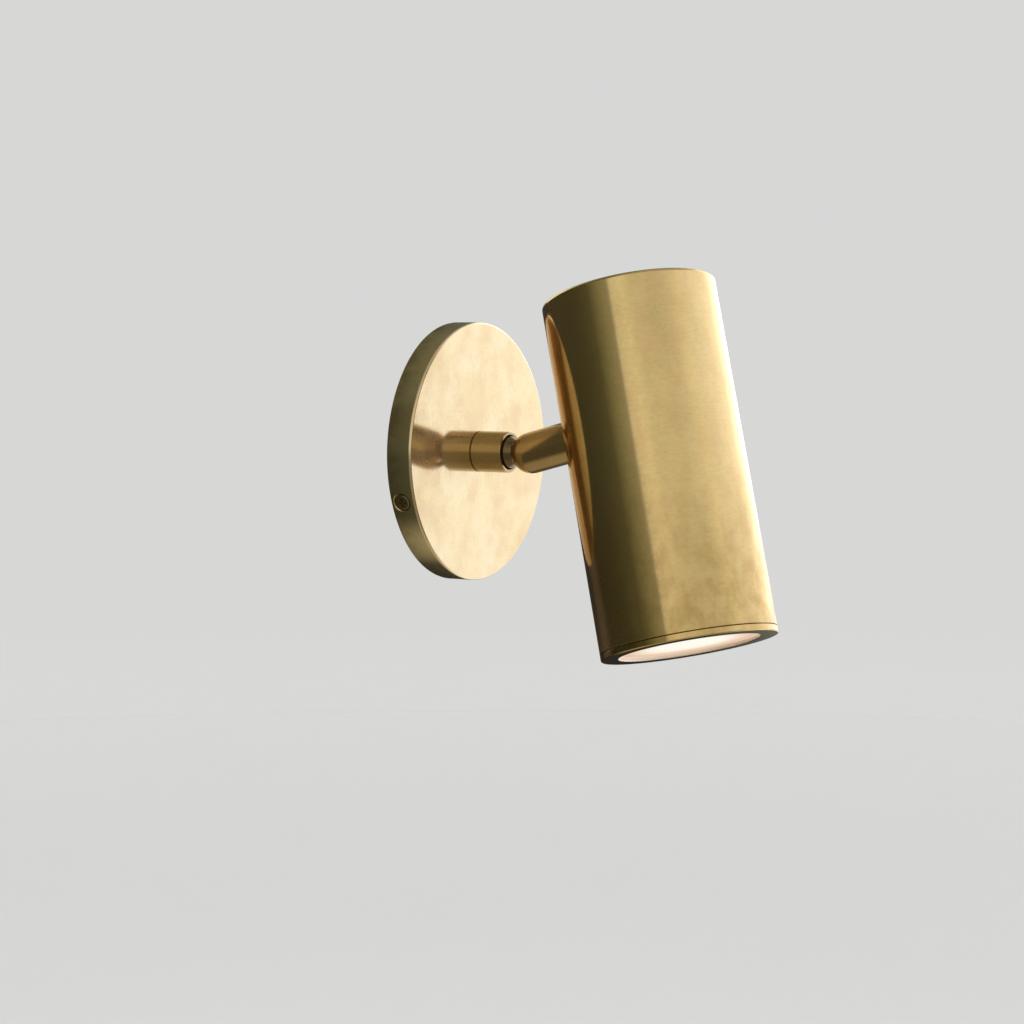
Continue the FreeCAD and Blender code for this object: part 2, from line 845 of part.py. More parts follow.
def disc_springs():
    """Two disc springs, rim to rim, behind the cup."""
    first = disc_spring("disc_spring_near", SPRING_START, False)
    second_low = f"{SPRING_START} + spring_sheet + spring_rise + thread_gap"
    second = disc_spring("disc_spring_far", second_low, True)
    return group("disc_springs", [first, second])


def stem_socket():
    """Turn the round-ended stem, hollow for the ball, and cope its end to the shade."""
    body = new_body("stem_socket", ALONG_STEM)
    outer = "stem_diameter / 2"
    edge = f"({SOCKET_MOUTH} + socket_edge)"
    end = "stem_length + saddle_overrun"
    turn_profile(
        body,
        [
            (SOCKET_MOUTH, f"-sqrt({SOCKET_BORE} * {SOCKET_BORE} - {SOCKET_MOUTH} * {SOCKET_MOUTH})"),
            (SOCKET_MOUTH, f"socket_edge - sqrt({outer} * {outer} - {edge} * {edge})"),
            (edge, f"-sqrt({outer} * {outer} - {edge} * {edge})", outer, "0", "0"),
            (outer, "0"),
            (outer, end),
            (SOCKET_BORE, end),
            (SOCKET_BORE, "0", SOCKET_BORE, "0", "0"),
        ],
    )
    saddle = new_sketch(body, "Saddle", "XZ_Plane")
    add_circle(saddle, "0", STEM_TO_AXIS, "shade_diameter / 2")
    pocket_through(body, saddle, "CopedEnd")
    return body


def shade():
    """Turn the closed-top shade with a threaded mouth and drill it for the stem's nipple."""
    body = new_body("shade", UP_SHADE)
    radius = "shade_diameter / 2"
    top = "shade_rise"
    turn_profile(
        body,
        [
            (THREAD_RADIUS, SHADE_MOUTH),
            (f"{radius} - seam_bevel", SHADE_MOUTH),
            (radius, f"{SHADE_MOUTH} + seam_bevel"),
            (radius, f"{top} - top_round", "top_round", f"{radius} - top_round", f"{top} - top_round"),
            (f"{radius} - top_round", top),
            ("0", top),
            ("0", f"{top} - shade_top"),
            (SHADE_INSIDE, f"{top} - shade_top"),
            (SHADE_INSIDE, THREAD_TOP),
            (THREAD_RADIUS, THREAD_TOP),
        ],
    )
    hole = new_sketch(body, "NippleHole", "XZ_Plane", lift=f"-{SHADE_INSIDE} / 2")
    add_circle(hole, "0", "0", f"{STEM_NIPPLE} + hole_gap")
    pocket_depth(body, hole, radius, "StemHole")
    return body


def holder_bracket():
    """Bend the strap: a leg clamped on the shade's wall, a shelf over the lampholder."""
    body = new_body("holder_bracket", UP_SHADE)
    bend = "(strap_bend + strap_sheet)"
    back = f"{STRAP_BACK}"
    shelf = "strap_rise"
    profile = new_sketch(body, "StrapProfile", "YZ_Plane")
    add_outline(
        profile,
        [
            (back, "-strap_drop"),
            (back, f"{shelf} - strap_bend", bend, f"{back} - {bend}", f"{shelf} - strap_bend"),
            (f"{back} - {bend}", f"{shelf} + strap_sheet"),
            ("-strap_reach", f"{shelf} + strap_sheet"),
            ("-strap_reach", shelf),
            (f"{back} - {bend}", shelf, "strap_bend", f"{back} - {bend}", f"{shelf} - strap_bend"),
            (f"{back} - strap_sheet", f"{shelf} - strap_bend"),
            (f"{back} - strap_sheet", "-strap_drop"),
        ],
    )
    pad(body, profile, "strap_width", "Strap", symmetric=True)
    shelf_holes = new_sketch(body, "ShelfHoles", "XY_Plane")
    for side in ("", "-"):
        add_circle(shelf_holes, "0", f"{side}holder_screw_spacing / 2", "small_thread / 2 + hole_gap")
    pocket_through(body, shelf_holes, "ShelfDrilling")
    leg_hole = new_sketch(body, "LegHole", "XZ_Plane")
    add_circle(leg_hole, "0", "0", f"{STEM_NIPPLE} + hole_gap")
    pocket_through(body, leg_hole, "LegDrilling")
    return body


def lampholder():
    """Turn the ceramic lampholder and sink its contact wells and screw holes."""
    body = new_body("lampholder", UP_SHADE)
    radius = "holder_diameter / 2"
    waist = "holder_waist / 2"
    step = f"{HOLDER_BASE} + holder_flange"
    turn_profile(
        body,
        [
            ("0", HOLDER_BASE),
            (f"{radius} - holder_round", HOLDER_BASE, "holder_round", f"{radius} - holder_round",
             f"{HOLDER_BASE} + holder_round"),
            (radius, f"{HOLDER_BASE} + holder_round"),
            (radius, step),
            (waist, step),
            (waist, "strap_rise"),
            ("0", "strap_rise"),
        ],
    )
    wells = new_sketch(body, "ContactWells", "XY_Plane", lift=HOLDER_BASE)
    for side in ("", "-"):
        add_circle(wells, f"{side}pin_spacing / 2", "0", "contact_head / 2 + hole_gap")
    pocket_depth(body, wells, "contact_well", "Wells", outward=True)
    taps = new_sketch(body, "ScrewTaps", "XY_Plane", lift="strap_rise")
    for side in ("", "-"):
        add_circle(taps, "0", f"{side}holder_screw_spacing / 2", "small_thread / 2 + thread_gap")
    pocket_depth(body, taps, "small_screw_length", "Taps")
    return body


def holder_screw(name, side):
    """One screw down through the shelf into the lampholder."""
    seat = "strap_rise + strap_sheet"
    place = " * ".join((UP_SHADE, move("0", f"{side}holder_screw_spacing / 2", seat)))
    return cross_screw(
        name, place, "small_thread", "small_head", "small_head_height", "small_screw_length"
    )


def lamp():
    """Turn the reflector lamp and pad its two headed pins."""
    body = new_body("lamp", UP_SHADE)
    radius = "lamp_diameter / 2"
    neck = "lamp_neck / 2"
    rim = f"{LAMP_FACE} + lamp_rim"
    bowl = f"{rim} + lamp_bowl"
    step = f"({radius} - {neck})"
    chord = f"({step} * {step} + lamp_bowl * lamp_bowl)"
    sag = f"sqrt(lamp_bowl_curve * lamp_bowl_curve / {chord} - 1 / 4)"
    turn_profile(
        body,
        [
            ("0", LAMP_FACE),
            (f"{radius} - lamp_bevel", LAMP_FACE),
            (radius, f"{LAMP_FACE} + lamp_bevel"),
            (radius, rim, "lamp_bowl_curve",
             f"({radius} + {neck}) / 2 - lamp_bowl * {sag}",
             f"{rim} + lamp_bowl / 2 - {step} * {sag}"),
            (neck, bowl),
            (neck, HOLDER_BASE),
            ("0", HOLDER_BASE),
        ],
    )
    for name, diameter, low, length in (
        ("PinShanks", "contact_pin", HOLDER_BASE, "contact_length"),
        ("PinHeads", "contact_head", f"{HOLDER_BASE} + contact_length - contact_head_height",
         "contact_head_height"),
    ):
        sketch = new_sketch(body, name + "Section", "XY_Plane", lift=low)
        for side in ("", "-"):
            add_circle(sketch, f"{side}pin_spacing / 2", "0", f"{diameter} / 2")
        pad(body, sketch, length, name)
    return body


def reflector():
    """Turn the thin white cone from the lamp's rim to the shade's threaded mouth."""
    body = new_body("reflector", UP_SHADE)
    flange = f"{THREAD_RADIUS} - thread_gap"
    throat = "lamp_diameter / 2 + throat_gap"
    low = f"({THREAD_TOP} - reflector_sheet)"
    high = f"{LAMP_FACE}"
    turn_profile(
        body,
        [
            (CONE_FOOT, low),
            (flange, low),
            (flange, THREAD_TOP),
            (f"{CONE_FOOT} + reflector_sheet", THREAD_TOP),
            (f"{throat} + reflector_sheet", high),
            (f"{throat} + reflector_sheet", f"{high} + throat_collar"),
            (throat, f"{high} + throat_collar"),
            (throat, high),
            (CONE_FOOT, THREAD_TOP),
        ],
    )
    return body


def lens():
    """Turn the frosted glass disc with eased edges."""
    body = new_body("lens", UP_SHADE)
    turn_profile(
        body,
        [
            ("0", LENS_BACK),
            (f"{LENS_RADIUS} - lens_bevel", LENS_BACK),
            (LENS_RADIUS, f"{LENS_BACK} + lens_bevel"),
            (LENS_RADIUS, f"{LENS_FRONT} - lens_bevel"),
            (f"{LENS_RADIUS} - lens_bevel", LENS_FRONT),
            ("0", LENS_FRONT),
        ],
    )
    return body


def trim_ring():
    """Turn the trim ring: a wide lip round the opening and a threaded spigot up the shade."""
    body = new_body("trim_ring", UP_SHADE)
    radius = "shade_diameter / 2"
    base = "-shade_drop"
    shoulder = f"{SHADE_MOUTH} - seam_gap"
    turn_profile(
        body,
        [
            (f"{OPENING} + lip_bevel", base),
            (f"{radius} - ring_bevel", base),
            (radius, f"{base} + ring_bevel"),
            (radius, f"{shoulder} - seam_bevel"),
            (f"{radius} - seam_bevel", shoulder),
            (SPIGOT, shoulder),
            (SPIGOT, SPIGOT_TOP),
            (POCKET, SPIGOT_TOP),
            (POCKET, f"{base} + lip_thickness"),
            (OPENING, f"{base} + lip_thickness"),
            (OPENING, f"{base} + lip_bevel"),
        ],
    )
    return body


def wall_side():
    """Build what stays on the wall: backplate, bracket, arm and their fasteners."""
    washer_back = f"({FACE_BACK} - washer_thickness)"
    nut_back = f"({washer_back} - nut_thickness)"
    nut_flats = f"(2 * {ARM_NIPPLE} + 2 * nut_wall)"
    return [
        backplate(),
        mounting_bracket(),
        group(
            "side_screws",
            [side_screw("side_screw_left", "180"), side_screw("side_screw_right", "0")],
        ),
        ground_screw(),
        arm_tube(),
        threaded_plug("arm_plug", OUT_OF_WALL, ARM_NIPPLE, f"({CHAMBER} - thread_gap)",
                      "plate_depth", ARM_PLUG_END),
        nipple("arm_nipple", OUT_OF_WALL, ARM_NIPPLE, f"({nut_back} - nipple_spare)", ARM_PLUG_END),
        lock_washer("arm_lock_washer", OUT_OF_WALL, ARM_NIPPLE, washer_back),
        hex_nut("arm_nut", OUT_OF_WALL, nut_flats, "nut_thickness", ARM_NIPPLE, nut_back),
        stop_pin(),
    ]


def swivel():
    """Build the stud that turns in the arm, and the cup and springs that press on its ball."""
    inner = f"{SHANK} + hole_gap / 2"
    stud_flats = f"(({CHAMBER} - stud_nut_gap) * sqrt(3))"
    return [
        ball_stud(),
        swivel_collar(),
        ring("friction_washer", OUT_OF_WALL, inner, f"{SHANK} + friction_width",
             f"{WEB_FRONT} + axial_gap / 2", f"{WEB_FRONT} + axial_gap / 2 + thin_washer"),
        ring("stud_washer", OUT_OF_WALL, inner, f"{SHANK} + stud_washer_width",
             STUD_WASHER_BACK, f"{STUD_WASHER_BACK} + thin_washer"),
        hex_nut("stud_nut", OUT_OF_WALL, stud_flats, "stud_nut_thickness", SHANK, STUD_NUT_BACK),
        ball_cup(),
        disc_springs(),
    ]


def head():
    """Build the stem, the shade and all that the shade holds."""
    plug_end = f"({STEM_PLUG_START} + stem_plug_length)"
    washer_end = f"({STRAP_FRONT} + washer_thickness)"
    nut_end = f"({washer_end} + nut_thickness)"
    nut_flats = f"(2 * {STEM_NIPPLE} + 2 * nut_wall)"
    gasket_outer = f"{LENS_RADIUS} - lens_bevel"
    return [
        stem_socket(),
        threaded_plug("stem_plug", ALONG_STEM, STEM_NIPPLE, f"({SOCKET_BORE} - thread_gap)",
                      STEM_PLUG_START, plug_end),
        nipple("stem_nipple", ALONG_STEM, STEM_NIPPLE, f"({plug_end} - nipple_inset)",
               f"({nut_end} + nipple_spare)"),
        lock_washer("stem_lock_washer", ALONG_STEM, STEM_NIPPLE, STRAP_FRONT),
        hex_nut("stem_nut", ALONG_STEM, nut_flats, "nut_thickness", STEM_NIPPLE, washer_end),
        shade(),
        holder_bracket(),
        group(
            "holder_screws",
            [holder_screw("holder_screw_near", ""), holder_screw("holder_screw_far", "-")],
        ),
        lampholder(),
        lamp(),
        reflector(),
        lens(),
        ring("lens_gasket", UP_SHADE, f"{gasket_outer} - gasket_width", gasket_outer,
             f"{LENS_FRONT} + thread_gap", SPIGOT_TOP),
        trim_ring(),
    ]


def check_and_write(nodes):
    """Stop on any failed object or bad shape, then write one STEP file per node."""
    document.recompute()
    for item in document.Objects:
        if "Invalid" in item.State or "Error" in item.State:
            raise RuntimeError(f"{item.Name} failed: {item.State}")
    for node in nodes:
        if node.Shape.isNull() or not node.Shape.isValid() or not node.Shape.Solids:
            raise RuntimeError(f"{node.Label} has a bad shape")
    os.makedirs("parts", exist_ok=True)
    for node in nodes:
        node.Shape.exportStep(f"parts/{node.Label}.step")
        print(f"{node.Label}: {len(node.Shape.Solids)} solid(s), {node.Shape.Volume:.1f} mm3")


fill_sheet()
check_and_write(wall_side() + swivel() + head())
print("pivot height above the wall", value_of(PIVOT))
print("shade axis beyond the pivot", value_of(STEM_TO_AXIS))
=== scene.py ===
"""The looks of an adjustable wall sconce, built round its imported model."""

import json
import logging
import math
from dataclasses import dataclass
from enum import Enum
from typing import Any, Iterator, Sequence, Union

import bpy
from mathutils import Matrix, Vector


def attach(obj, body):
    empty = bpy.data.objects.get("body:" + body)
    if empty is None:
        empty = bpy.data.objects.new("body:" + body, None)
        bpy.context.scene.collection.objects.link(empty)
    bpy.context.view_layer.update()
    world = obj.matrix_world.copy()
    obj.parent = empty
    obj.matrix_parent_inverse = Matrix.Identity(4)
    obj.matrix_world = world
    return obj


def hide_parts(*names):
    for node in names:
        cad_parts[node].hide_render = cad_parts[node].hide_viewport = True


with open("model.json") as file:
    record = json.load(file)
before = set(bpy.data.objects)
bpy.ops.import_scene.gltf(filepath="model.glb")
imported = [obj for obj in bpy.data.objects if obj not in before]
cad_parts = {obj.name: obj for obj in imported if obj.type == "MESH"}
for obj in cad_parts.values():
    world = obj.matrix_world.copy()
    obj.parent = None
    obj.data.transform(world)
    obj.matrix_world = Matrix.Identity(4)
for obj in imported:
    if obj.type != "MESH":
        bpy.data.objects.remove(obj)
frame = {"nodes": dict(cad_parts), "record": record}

log = logging.getLogger("sconce")

MM = 0.001
Colour = tuple[float, float, float]
Way = tuple[float, float, float]
Spot = tuple[float, float]
Levels = tuple[tuple[float, float], ...]
Term = Union["Signal", float, int, tuple, Vector]
Sockets = dict[Any, Any]

# How many blobs of each layer of a finish fit in a metre.
CLOUDS, TINTS, BLOTCHES, SPECKS, MIST, HAIRS = 48.0, 75.0, 130.0, 850.0, 900.0, 1500.0
DULLED, MACHINED, STAINS, PORES, FROST = 180.0, 2400.0, 120.0, 1900.0, 1500.0
# How far the finest marks stand out.
RELIEF, FROST_RELIEF = 0.02 * MM, 0.03 * MM


class Grain(Enum):
    """Which way the fine marks of a finish run on its piece."""

    ROUND = "round the axis, as turning leaves them"
    EVEN = "no way in particular"


class Signal:
    """A node's output that takes part in expressions."""

    def __init__(self, graph: "Graph", socket: bpy.types.NodeSocket) -> None:
        """Wrap an output socket of a graph."""
        self.graph = graph
        self.socket = socket

    def _math(self, operation: str, *terms: Term) -> "Signal":
        """Add one Math node."""
        return self.graph.add("ShaderNodeMath", {"operation": operation}, dict(enumerate(terms)))

    def __add__(self, other: Term) -> "Signal":
        """Sum."""
        return self._math("ADD", self, other)

    __radd__ = __add__

    def __sub__(self, other: Term) -> "Signal":
        """Difference."""
        return self._math("SUBTRACT", self, other)

    def __rsub__(self, other: Term) -> "Signal":
        """Difference from a plain number."""
        return self._math("SUBTRACT", other, self)

    def __mul__(self, other: Term) -> "Signal":
        """Product."""
        return self._math("MULTIPLY", self, other)

    __rmul__ = __mul__

    def __truediv__(self, other: Term) -> "Signal":
        """Quotient."""
        return self._math("DIVIDE", self, other)

    def __rtruediv__(self, other: Term) -> "Signal":
        """Quotient of a plain number."""
        return self._math("DIVIDE", other, self)

    def __abs__(self) -> "Signal":
        """Size without sign."""
        return self._math("ABSOLUTE", self)

    def between(self, low: float, high: float) -> "Signal":
        """Rise smoothly from 0 at one value to 1 at another."""
        inputs = {"Value": self, "From Min": low, "From Max": high}
        return self.graph.add("ShaderNodeMapRange", {"interpolation_type": "SMOOTHSTEP"}, inputs)


class Graph:
    """The nodes of one material or world."""

    def __init__(self, owner: Union[bpy.types.Material, bpy.types.World]) -> None:
        """Clear the owner's nodes.

        Args:
            owner: the material or world.
        """
        owner.use_nodes = True
        self.owner = owner
        self.tree = owner.node_tree
        self.tree.nodes.clear()

    def node(self, kind: str, settings: dict[str, Any], inputs: Sockets) -> bpy.types.Node:
        """Add a node.

        Args:
            kind: the node's type.
            settings: its properties, set first. "stops" are a ramp's positions and colours.
            inputs: the values or links of its sockets, by name or by number.

        Returns:
            The node.
        """
        made = self.tree.nodes.new(kind)
        for name, value in settings.items():
            if name == "stops":
                self._set_stops(made.color_ramp, value)
            else:
                setattr(made, name, value)
        for key, value in inputs.items():
            if isinstance(value, Signal):
                self.tree.links.new(value.socket, made.inputs[key])
            elif isinstance(value, (tuple, Vector)) and made.inputs[key].type == "RGBA":
                made.inputs[key].default_value = (*value[:3], 1.0)
            else:
                made.inputs[key].default_value = value
        return made

    @staticmethod
    def _set_stops(ramp: bpy.types.ColorRamp, stops: Sequence[tuple[float, Colour]]) -> None:
        """Give a colour ramp its stops.

        Args:
            ramp: the ramp.
            stops: the position and colour of each.
        """
        while len(ramp.elements) < len(stops):
            ramp.elements.new(1.0)
        for element, (position, colour) in zip(ramp.elements, stops):
            element.position = position
            element.color = (*colour, 1.0)

    def add(self, kind: str, settings: dict[str, Any], inputs: Sockets, output: Any = 0) -> Signal:
        """Add a node and wrap one of its outputs, by name or by number."""
        return Signal(self, self.node(kind, settings, inputs).outputs[output])

    def mix(self, share: Term, first: Term, second: Term) -> Signal:
        """Mix two colours, by how much of the second shows."""
        return self.add("ShaderNodeMix", {"data_type": "RGBA"}, {0: share, 6: first, 7: second}, 2)

    def place(self) -> Signal:
        """Where the surface is, in metres in the row's frame."""
        return self.add("ShaderNodeTexCoord", {}, {}, "Object")

    def seen_from(self, place: Matrix) -> Signal:
        """The surface's place in a piece's own frame.

        Args:
            place: the matrix that puts the piece in the row's frame.

        Returns:
            A vector whose Z runs along the piece's axis.
        """
        back = place.inverted()
        turn = back.to_3x3().to_euler("XYZ")
        inputs = {"Vector": self.place(), "Location": back.to_translation(), "Rotation": turn}
        return self.add("ShaderNodeMapping", {"vector_type": "POINT"}, inputs)

    def parts(self, vector: Signal) -> list[Signal]:
        """The three parts of a vector."""
        split = self.node("ShaderNodeSeparateXYZ", {}, {0: vector})
        return [Signal(self, output) for output in split.outputs]

    def stretched(self, vector: Signal, scale: Way) -> Signal:
        """A vector with each part scaled."""
        return self.add("ShaderNodeVectorMath", {"operation": "MULTIPLY"}, {0: vector, 1: scale})

    def length(self, vector: Signal) -> Signal:
        """How long a vector is."""
        return self.add("ShaderNodeVectorMath", {"operation": "LENGTH"}, {0: vector}, "Value")

    def from_axis(self, here: Signal) -> Signal:
        """How far a place in a piece's own frame is from its axis."""
        return self.length(self.stretched(here, (1.0, 1.0, 0.0)))

    def noise(self, vector: Signal, scale: float, detail: float = 3.0, rough: float = 0.5) -> Signal:
        """Cloudy values from 0 to 1, by blobs in a metre, finer layers and how strong these are."""
        inputs = {"Vector": vector, "Scale": scale, "Detail": detail, "Roughness": rough}
        return self.add("ShaderNodeTexNoise", {}, inputs)

    def bump(self, height: Signal, strength: float, distance: float) -> Signal:
        """The normal of heights from 0 to 1, where 1 stands out by a distance in metres."""
        inputs = {"Strength": strength, "Distance": distance, "Height": height}
        return self.add("ShaderNodeBump", {}, inputs)

    def surface(self, *layers: Sockets, share: Term = 0.0) -> bpy.types.Material:
        """End the graph in one Principled surface, or in two that are mixed.

        Args:
            layers: the values or links of each shader's sockets.
            share: how much of the second shows.

        Returns:
            The material.
        """
        shown = [self.add("ShaderNodeBsdfPrincipled", {}, inputs) for inputs in layers]
        if len(shown) > 1:
            shown = [self.add("ShaderNodeMixShader", {}, {0: share, 1: shown[0], 2: shown[1]})]
        self.node("ShaderNodeOutputMaterial", {}, {"Surface": shown[0]})
        return self.owner


@dataclass(frozen=True)
class AgedBrass:
    """Polished brass with a soft uneven patina and fine turning marks.

    Attributes:
        name: the material's name.
        place: the frame of the piece, with Z along its axis.
        grain: which way the fine marks run.
        age: how much patina shows, about 1.
        bright: the colour of clean brass.
        olive: the greenish side of the patina.
        tan: the pinkish side of the patina.
        ochre: the colour that the surface darkens towards at its low end.
        brown: the colour of its small spots.
        painted_reflection: the darker, more orange colour of the painted reflection of the plate on the side
            towards the wall.
        seam_shade: the dark colour of the painted shade line at a seam.
        pale: the near-white colour painted on a bore so that it looks lit by the lens, a painted highlight.
        polish: the least roughness.
        haze: the share of the surface that is dull.
        dull: how rough that share is.
        brush: how deep the fine marks are, about 1.
        fine: how much of the finest marks shows, about 1.
        darkens_below: the levels at and below the first of which the colour is darkest, fading out by the
            second, or None.
        dulls: how much duller the surface is where it is darkest towards its low end.
        wall_side: how much of that painted reflection the side towards the wall gets, from 0 to 1.
        seam: the level of a joint that gets a painted shade line, or None.
        bore: the radius of a bore that gets that painted highlight and is dull, or 0.
        worn_edge: the level of an edge that handling has worn, or None.
    """

    name: str
    place: Matrix
    grain: Grain = Grain.ROUND
    age: float = 1.0
    bright: Colour = (0.86, 0.635, 0.275)
    olive: Colour = (0.69, 0.52, 0.205)
    tan: Colour = (0.77, 0.53, 0.225)
    ochre: Colour = (0.5, 0.32, 0.09)
    brown: Colour = (0.3, 0.19, 0.08)
    painted_reflection: Colour = (0.5, 0.24, 0.07)
    seam_shade: Colour = (0.08, 0.055, 0.025)
    pale: Colour = (0.98, 0.93, 0.84)
    polish: float = 0.075
    haze: float = 0.15
    dull: float = 0.54
    brush: float = 0.5
    fine: float = 1.0
    darkens_below: Union[Spot, None] = None
    dulls: float = 0.0
    wall_side: float = 0.0
    seam: Union[float, None] = None
    bore: float = 0.0
    worn_edge: Union[float, None] = None

    def material(self) -> bpy.types.Material:
        """Make the material.

        Returns:
            The material.
        """
        graph = Graph(bpy.data.materials.new(self.name))
        here = graph.seen_from(self.place)
        _, to_wall, level = graph.parts(here)
        cloud = graph.noise(graph.stretched(here, (1.0, 1.0, 0.6)), CLOUDS, 4.0, 0.55)
        blotch = graph.noise(graph.stretched(here, (1.0, 1.0, 0.75)), BLOTCHES, 4.0, 0.6)
        mist = graph.noise(graph.stretched(here, self._drawn_out(0.45)), MIST, 3.0, 0.6)
        hair = graph.noise(graph.stretched(here, self._drawn_out(0.035)), HAIRS, 3.0, 0.65)
        tarnish = cloud.between(0.35, 0.7) * 0.5 + blotch.between(0.38, 0.68) * 0.25
        tarnish = (tarnish + mist.between(0.35, 0.7) * 0.25 * self.fine) * self.age
        share = tarnish * 0.8 + 0.6
        low_darkening: Term = 0.0
        # Darker and duller towards the piece's low end: on the backplate this is painted shade on the rim
        # towards the wall.
        if self.darkens_below:
            low_darkening = (1 - level.between(*self.darkens_below)) * (blotch.between(0.3, 0.7) * 0.4 + 0.22)
            share = share + low_darkening * self.dulls
        share = share * self.haze
        if self.worn_edge is not None:
            wear = level.between(self.worn_edge - 1.6 * MM, self.worn_edge - 0.4 * MM) * 0.7
            share = share + (1 - share) * wear
        colour = self._colour(graph, here, to_wall, level, low_darkening, tarnish)
        colour = graph.mix(hair.between(0.45, 0.8) * 0.16 * self.brush, colour, self.brown)
        # Painted highlight: the bore is made pale and dull so that it shows the lens's light as a cream
        # line.
        if self.bore:
            bare = 1 - graph.from_axis(here).between(self.bore + 0.1 * MM, self.bore + 0.4 * MM)
            colour = graph.mix(bare, colour, self.pale)
            share = share + (1 - share) * bare
        roughness = tarnish * 0.03 + hair.between(0.35, 0.75) * 0.05 * self.brush + self.polish
        normal = graph.bump(hair * 0.5 + mist * 0.5, 0.22 * self.brush, RELIEF)
        polished = {"Base Color": colour, "Metallic": 1.0, "Roughness": roughness, "Normal": normal}
        return graph.surface(polished, {**polished, "Roughness": self.dull}, share=share)

    def _colour(
        self, graph: Graph, here: Signal, to_wall: Signal, level: Signal, low_darkening: Term, tarnish: Signal
    ) -> Signal:
        """The metal's colour with its patina, painted reflection and painted shade.

        Args:
            graph: the material's graph.
            here: the place in the piece's own frame.
            to_wall: its part towards the wall.
            level: its part along the axis.
            low_darkening: how far the colour darkens towards the low end.
            tarnish: how far it has gone everywhere.

        Returns:
            The colour.
        """
        tint = graph.noise(graph.stretched(here, (1.3, 1.3, 0.8)), TINTS)
        speck = graph.noise(here, SPECKS, 3.0, 0.6)
        colour = graph.mix(tarnish, self.bright, graph.mix(tint.between(0.4, 0.62), self.olive, self.tan))
        # Darker and more ochre towards the low end: painted shade on the backplate's rim, a plain darkening
        # towards the bottom elsewhere.
        if self.darkens_below:
            colour = graph.mix(low_darkening, colour, self.ochre)
        colour = graph.mix(speck.between(0.68, 0.8) * 0.22 * self.age * self.fine, colour, self.brown)
        # Painted reflection: the side towards the wall is tinted darker and more orange to stand for the
        # plate mirrored in it, kept off the worn top edge.
        if self.wall_side:
            turned = to_wall.between(12.0 * MM, 27.0 * MM) * self.wall_side
            if self.worn_edge is not None:
                turned = turned * (1 - level.between(self.worn_edge - 3.0 * MM, self.worn_edge - 0.5 * MM))
            colour = graph.mix(turned, colour, self.painted_reflection)
        # Painted shade: a thin dark line at a joint between two parts.
        if self.seam is not None:
            away = abs(level - self.seam).between(0.1 * MM, 0.3 * MM)
            colour = graph.mix((1 - away) * 0.8, colour, self.seam_shade)
        return colour

    def _drawn_out(self, share: float) -> Way:
        """The scale of each axis for marks whose width is a share of their length."""
        return (share, share, 1.0) if self.grain is Grain.ROUND else (0.6, 0.6, 0.6)


@dataclass(frozen=True)
class PlainMetal:
    """Machined or plated metal of the inner pieces.

    Attributes:
        name: the material's name.
        colour: the metal's colour.
        worn: the colour where it is dulled.
        polish: the least roughness.
        bare: how much of it is bare metal, the rest being a chalky film.
    """

    name: str
    colour: Colour
    worn: Colour
    polish: float = 0.28
    bare: float = 1.0

    def material(self) -> bpy.types.Material:
        """Make the material.

        Returns:
            The material.
        """
        graph = Graph(bpy.data.materials.new(self.name))
        here = graph.place()
        dull = graph.noise(here, DULLED, 4.0, 0.6).between(0.35, 0.75)
        grain = graph.noise(here, MACHINED, 2.0)
        sockets = {
            "Base Color": graph.mix(dull, self.colour, self.worn),
            "Metallic": self.bare,
            "Roughness": dull * 0.16 + grain * 0.08 + self.polish,
            "Normal": graph.bump(grain, 0.15, RELIEF),
        }
        return graph.surface(sockets)


@dataclass(frozen=True)
class Moulded:
    """Plastic, rubber, ceramic or enamel.

    Attributes:
        name: the material's name.
        colour: the main colour.
        shade: the colour in its darker clouds.
        rough: the roughness.
        coat: the weight of a clear glaze.
    """

    name: str
    colour: Colour
    shade: Colour
    rough: float = 0.45
    coat: float = 0.0

    def material(self) -> bpy.types.Material:
        """Make the material.

        Returns:
            The material.
        """
        graph = Graph(bpy.data.materials.new(self.name))
        here = graph.place()
        cloud = graph.noise(here, STAINS, 4.0, 0.6)
        fine = graph.noise(here, PORES, 3.0, 0.55)
        sockets = {
            "Base Color": graph.mix(cloud.between(0.3, 0.8), self.colour, self.shade),
            "Roughness": fine * 0.1 + self.rough,
            "Coat Weight": self.coat,
            "Coat Roughness": 0.08,
            "Normal": graph.bump(fine, 0.3, RELIEF),
        }
        return graph.surface(sockets)


@dataclass(frozen=True)
class LitGlass:
    """Acid-etched glass lit from behind, cream in the middle, pinker outwards, pale at its edge.

    Attributes:
        name: the material's name.
        place: the frame of the lens, with Z along its axis.
        radius: the radius that the light fills.
        middle: the glow's colour in the middle.
        outer: its colour further out.
        edge: its colour where the lip's bore starts.
        frosting: the glow's colour in its frost.
        body: the glass's own two colours.
        strength: how strong the glow is.
    """

    name: str
    place: Matrix
    radius: float
    middle: Colour = (1.0, 0.955, 0.82)
    outer: Colour = (0.75, 0.44, 0.26)
    edge: Colour = (0.88, 0.74, 0.58)
    frosting: Colour = (0.8, 0.74, 0.64)
    body: tuple[Colour, Colour] = ((0.14, 0.136, 0.13), (0.11, 0.108, 0.1))
    strength: float = 0.9

    def material(self) -> bpy.types.Material:
        """Make the material.

        Returns:
            The material.
        """
        graph = Graph(bpy.data.materials.new(self.name))
        here = graph.seen_from(self.place)
        share = graph.from_axis(here) / self.radius
        frost = graph.noise(here, FROST, 4.0, 0.6)
        glow = graph.mix(share.between(0.42, 0.97), self.middle, self.outer)
        glow = graph.mix(share.between(0.96, 0.995), glow, self.edge)
        sockets = {
            "Base Color": graph.mix(frost, *self.body),
            "Roughness": frost * 0.2 + 0.45,
            "Emission Color": graph.mix(frost * 0.1, glow, self.frosting),
            "Emission Strength": self.strength,
            "Normal": graph.bump(frost, 0.3, FROST_RELIEF),
        }
        return graph.surface(sockets)


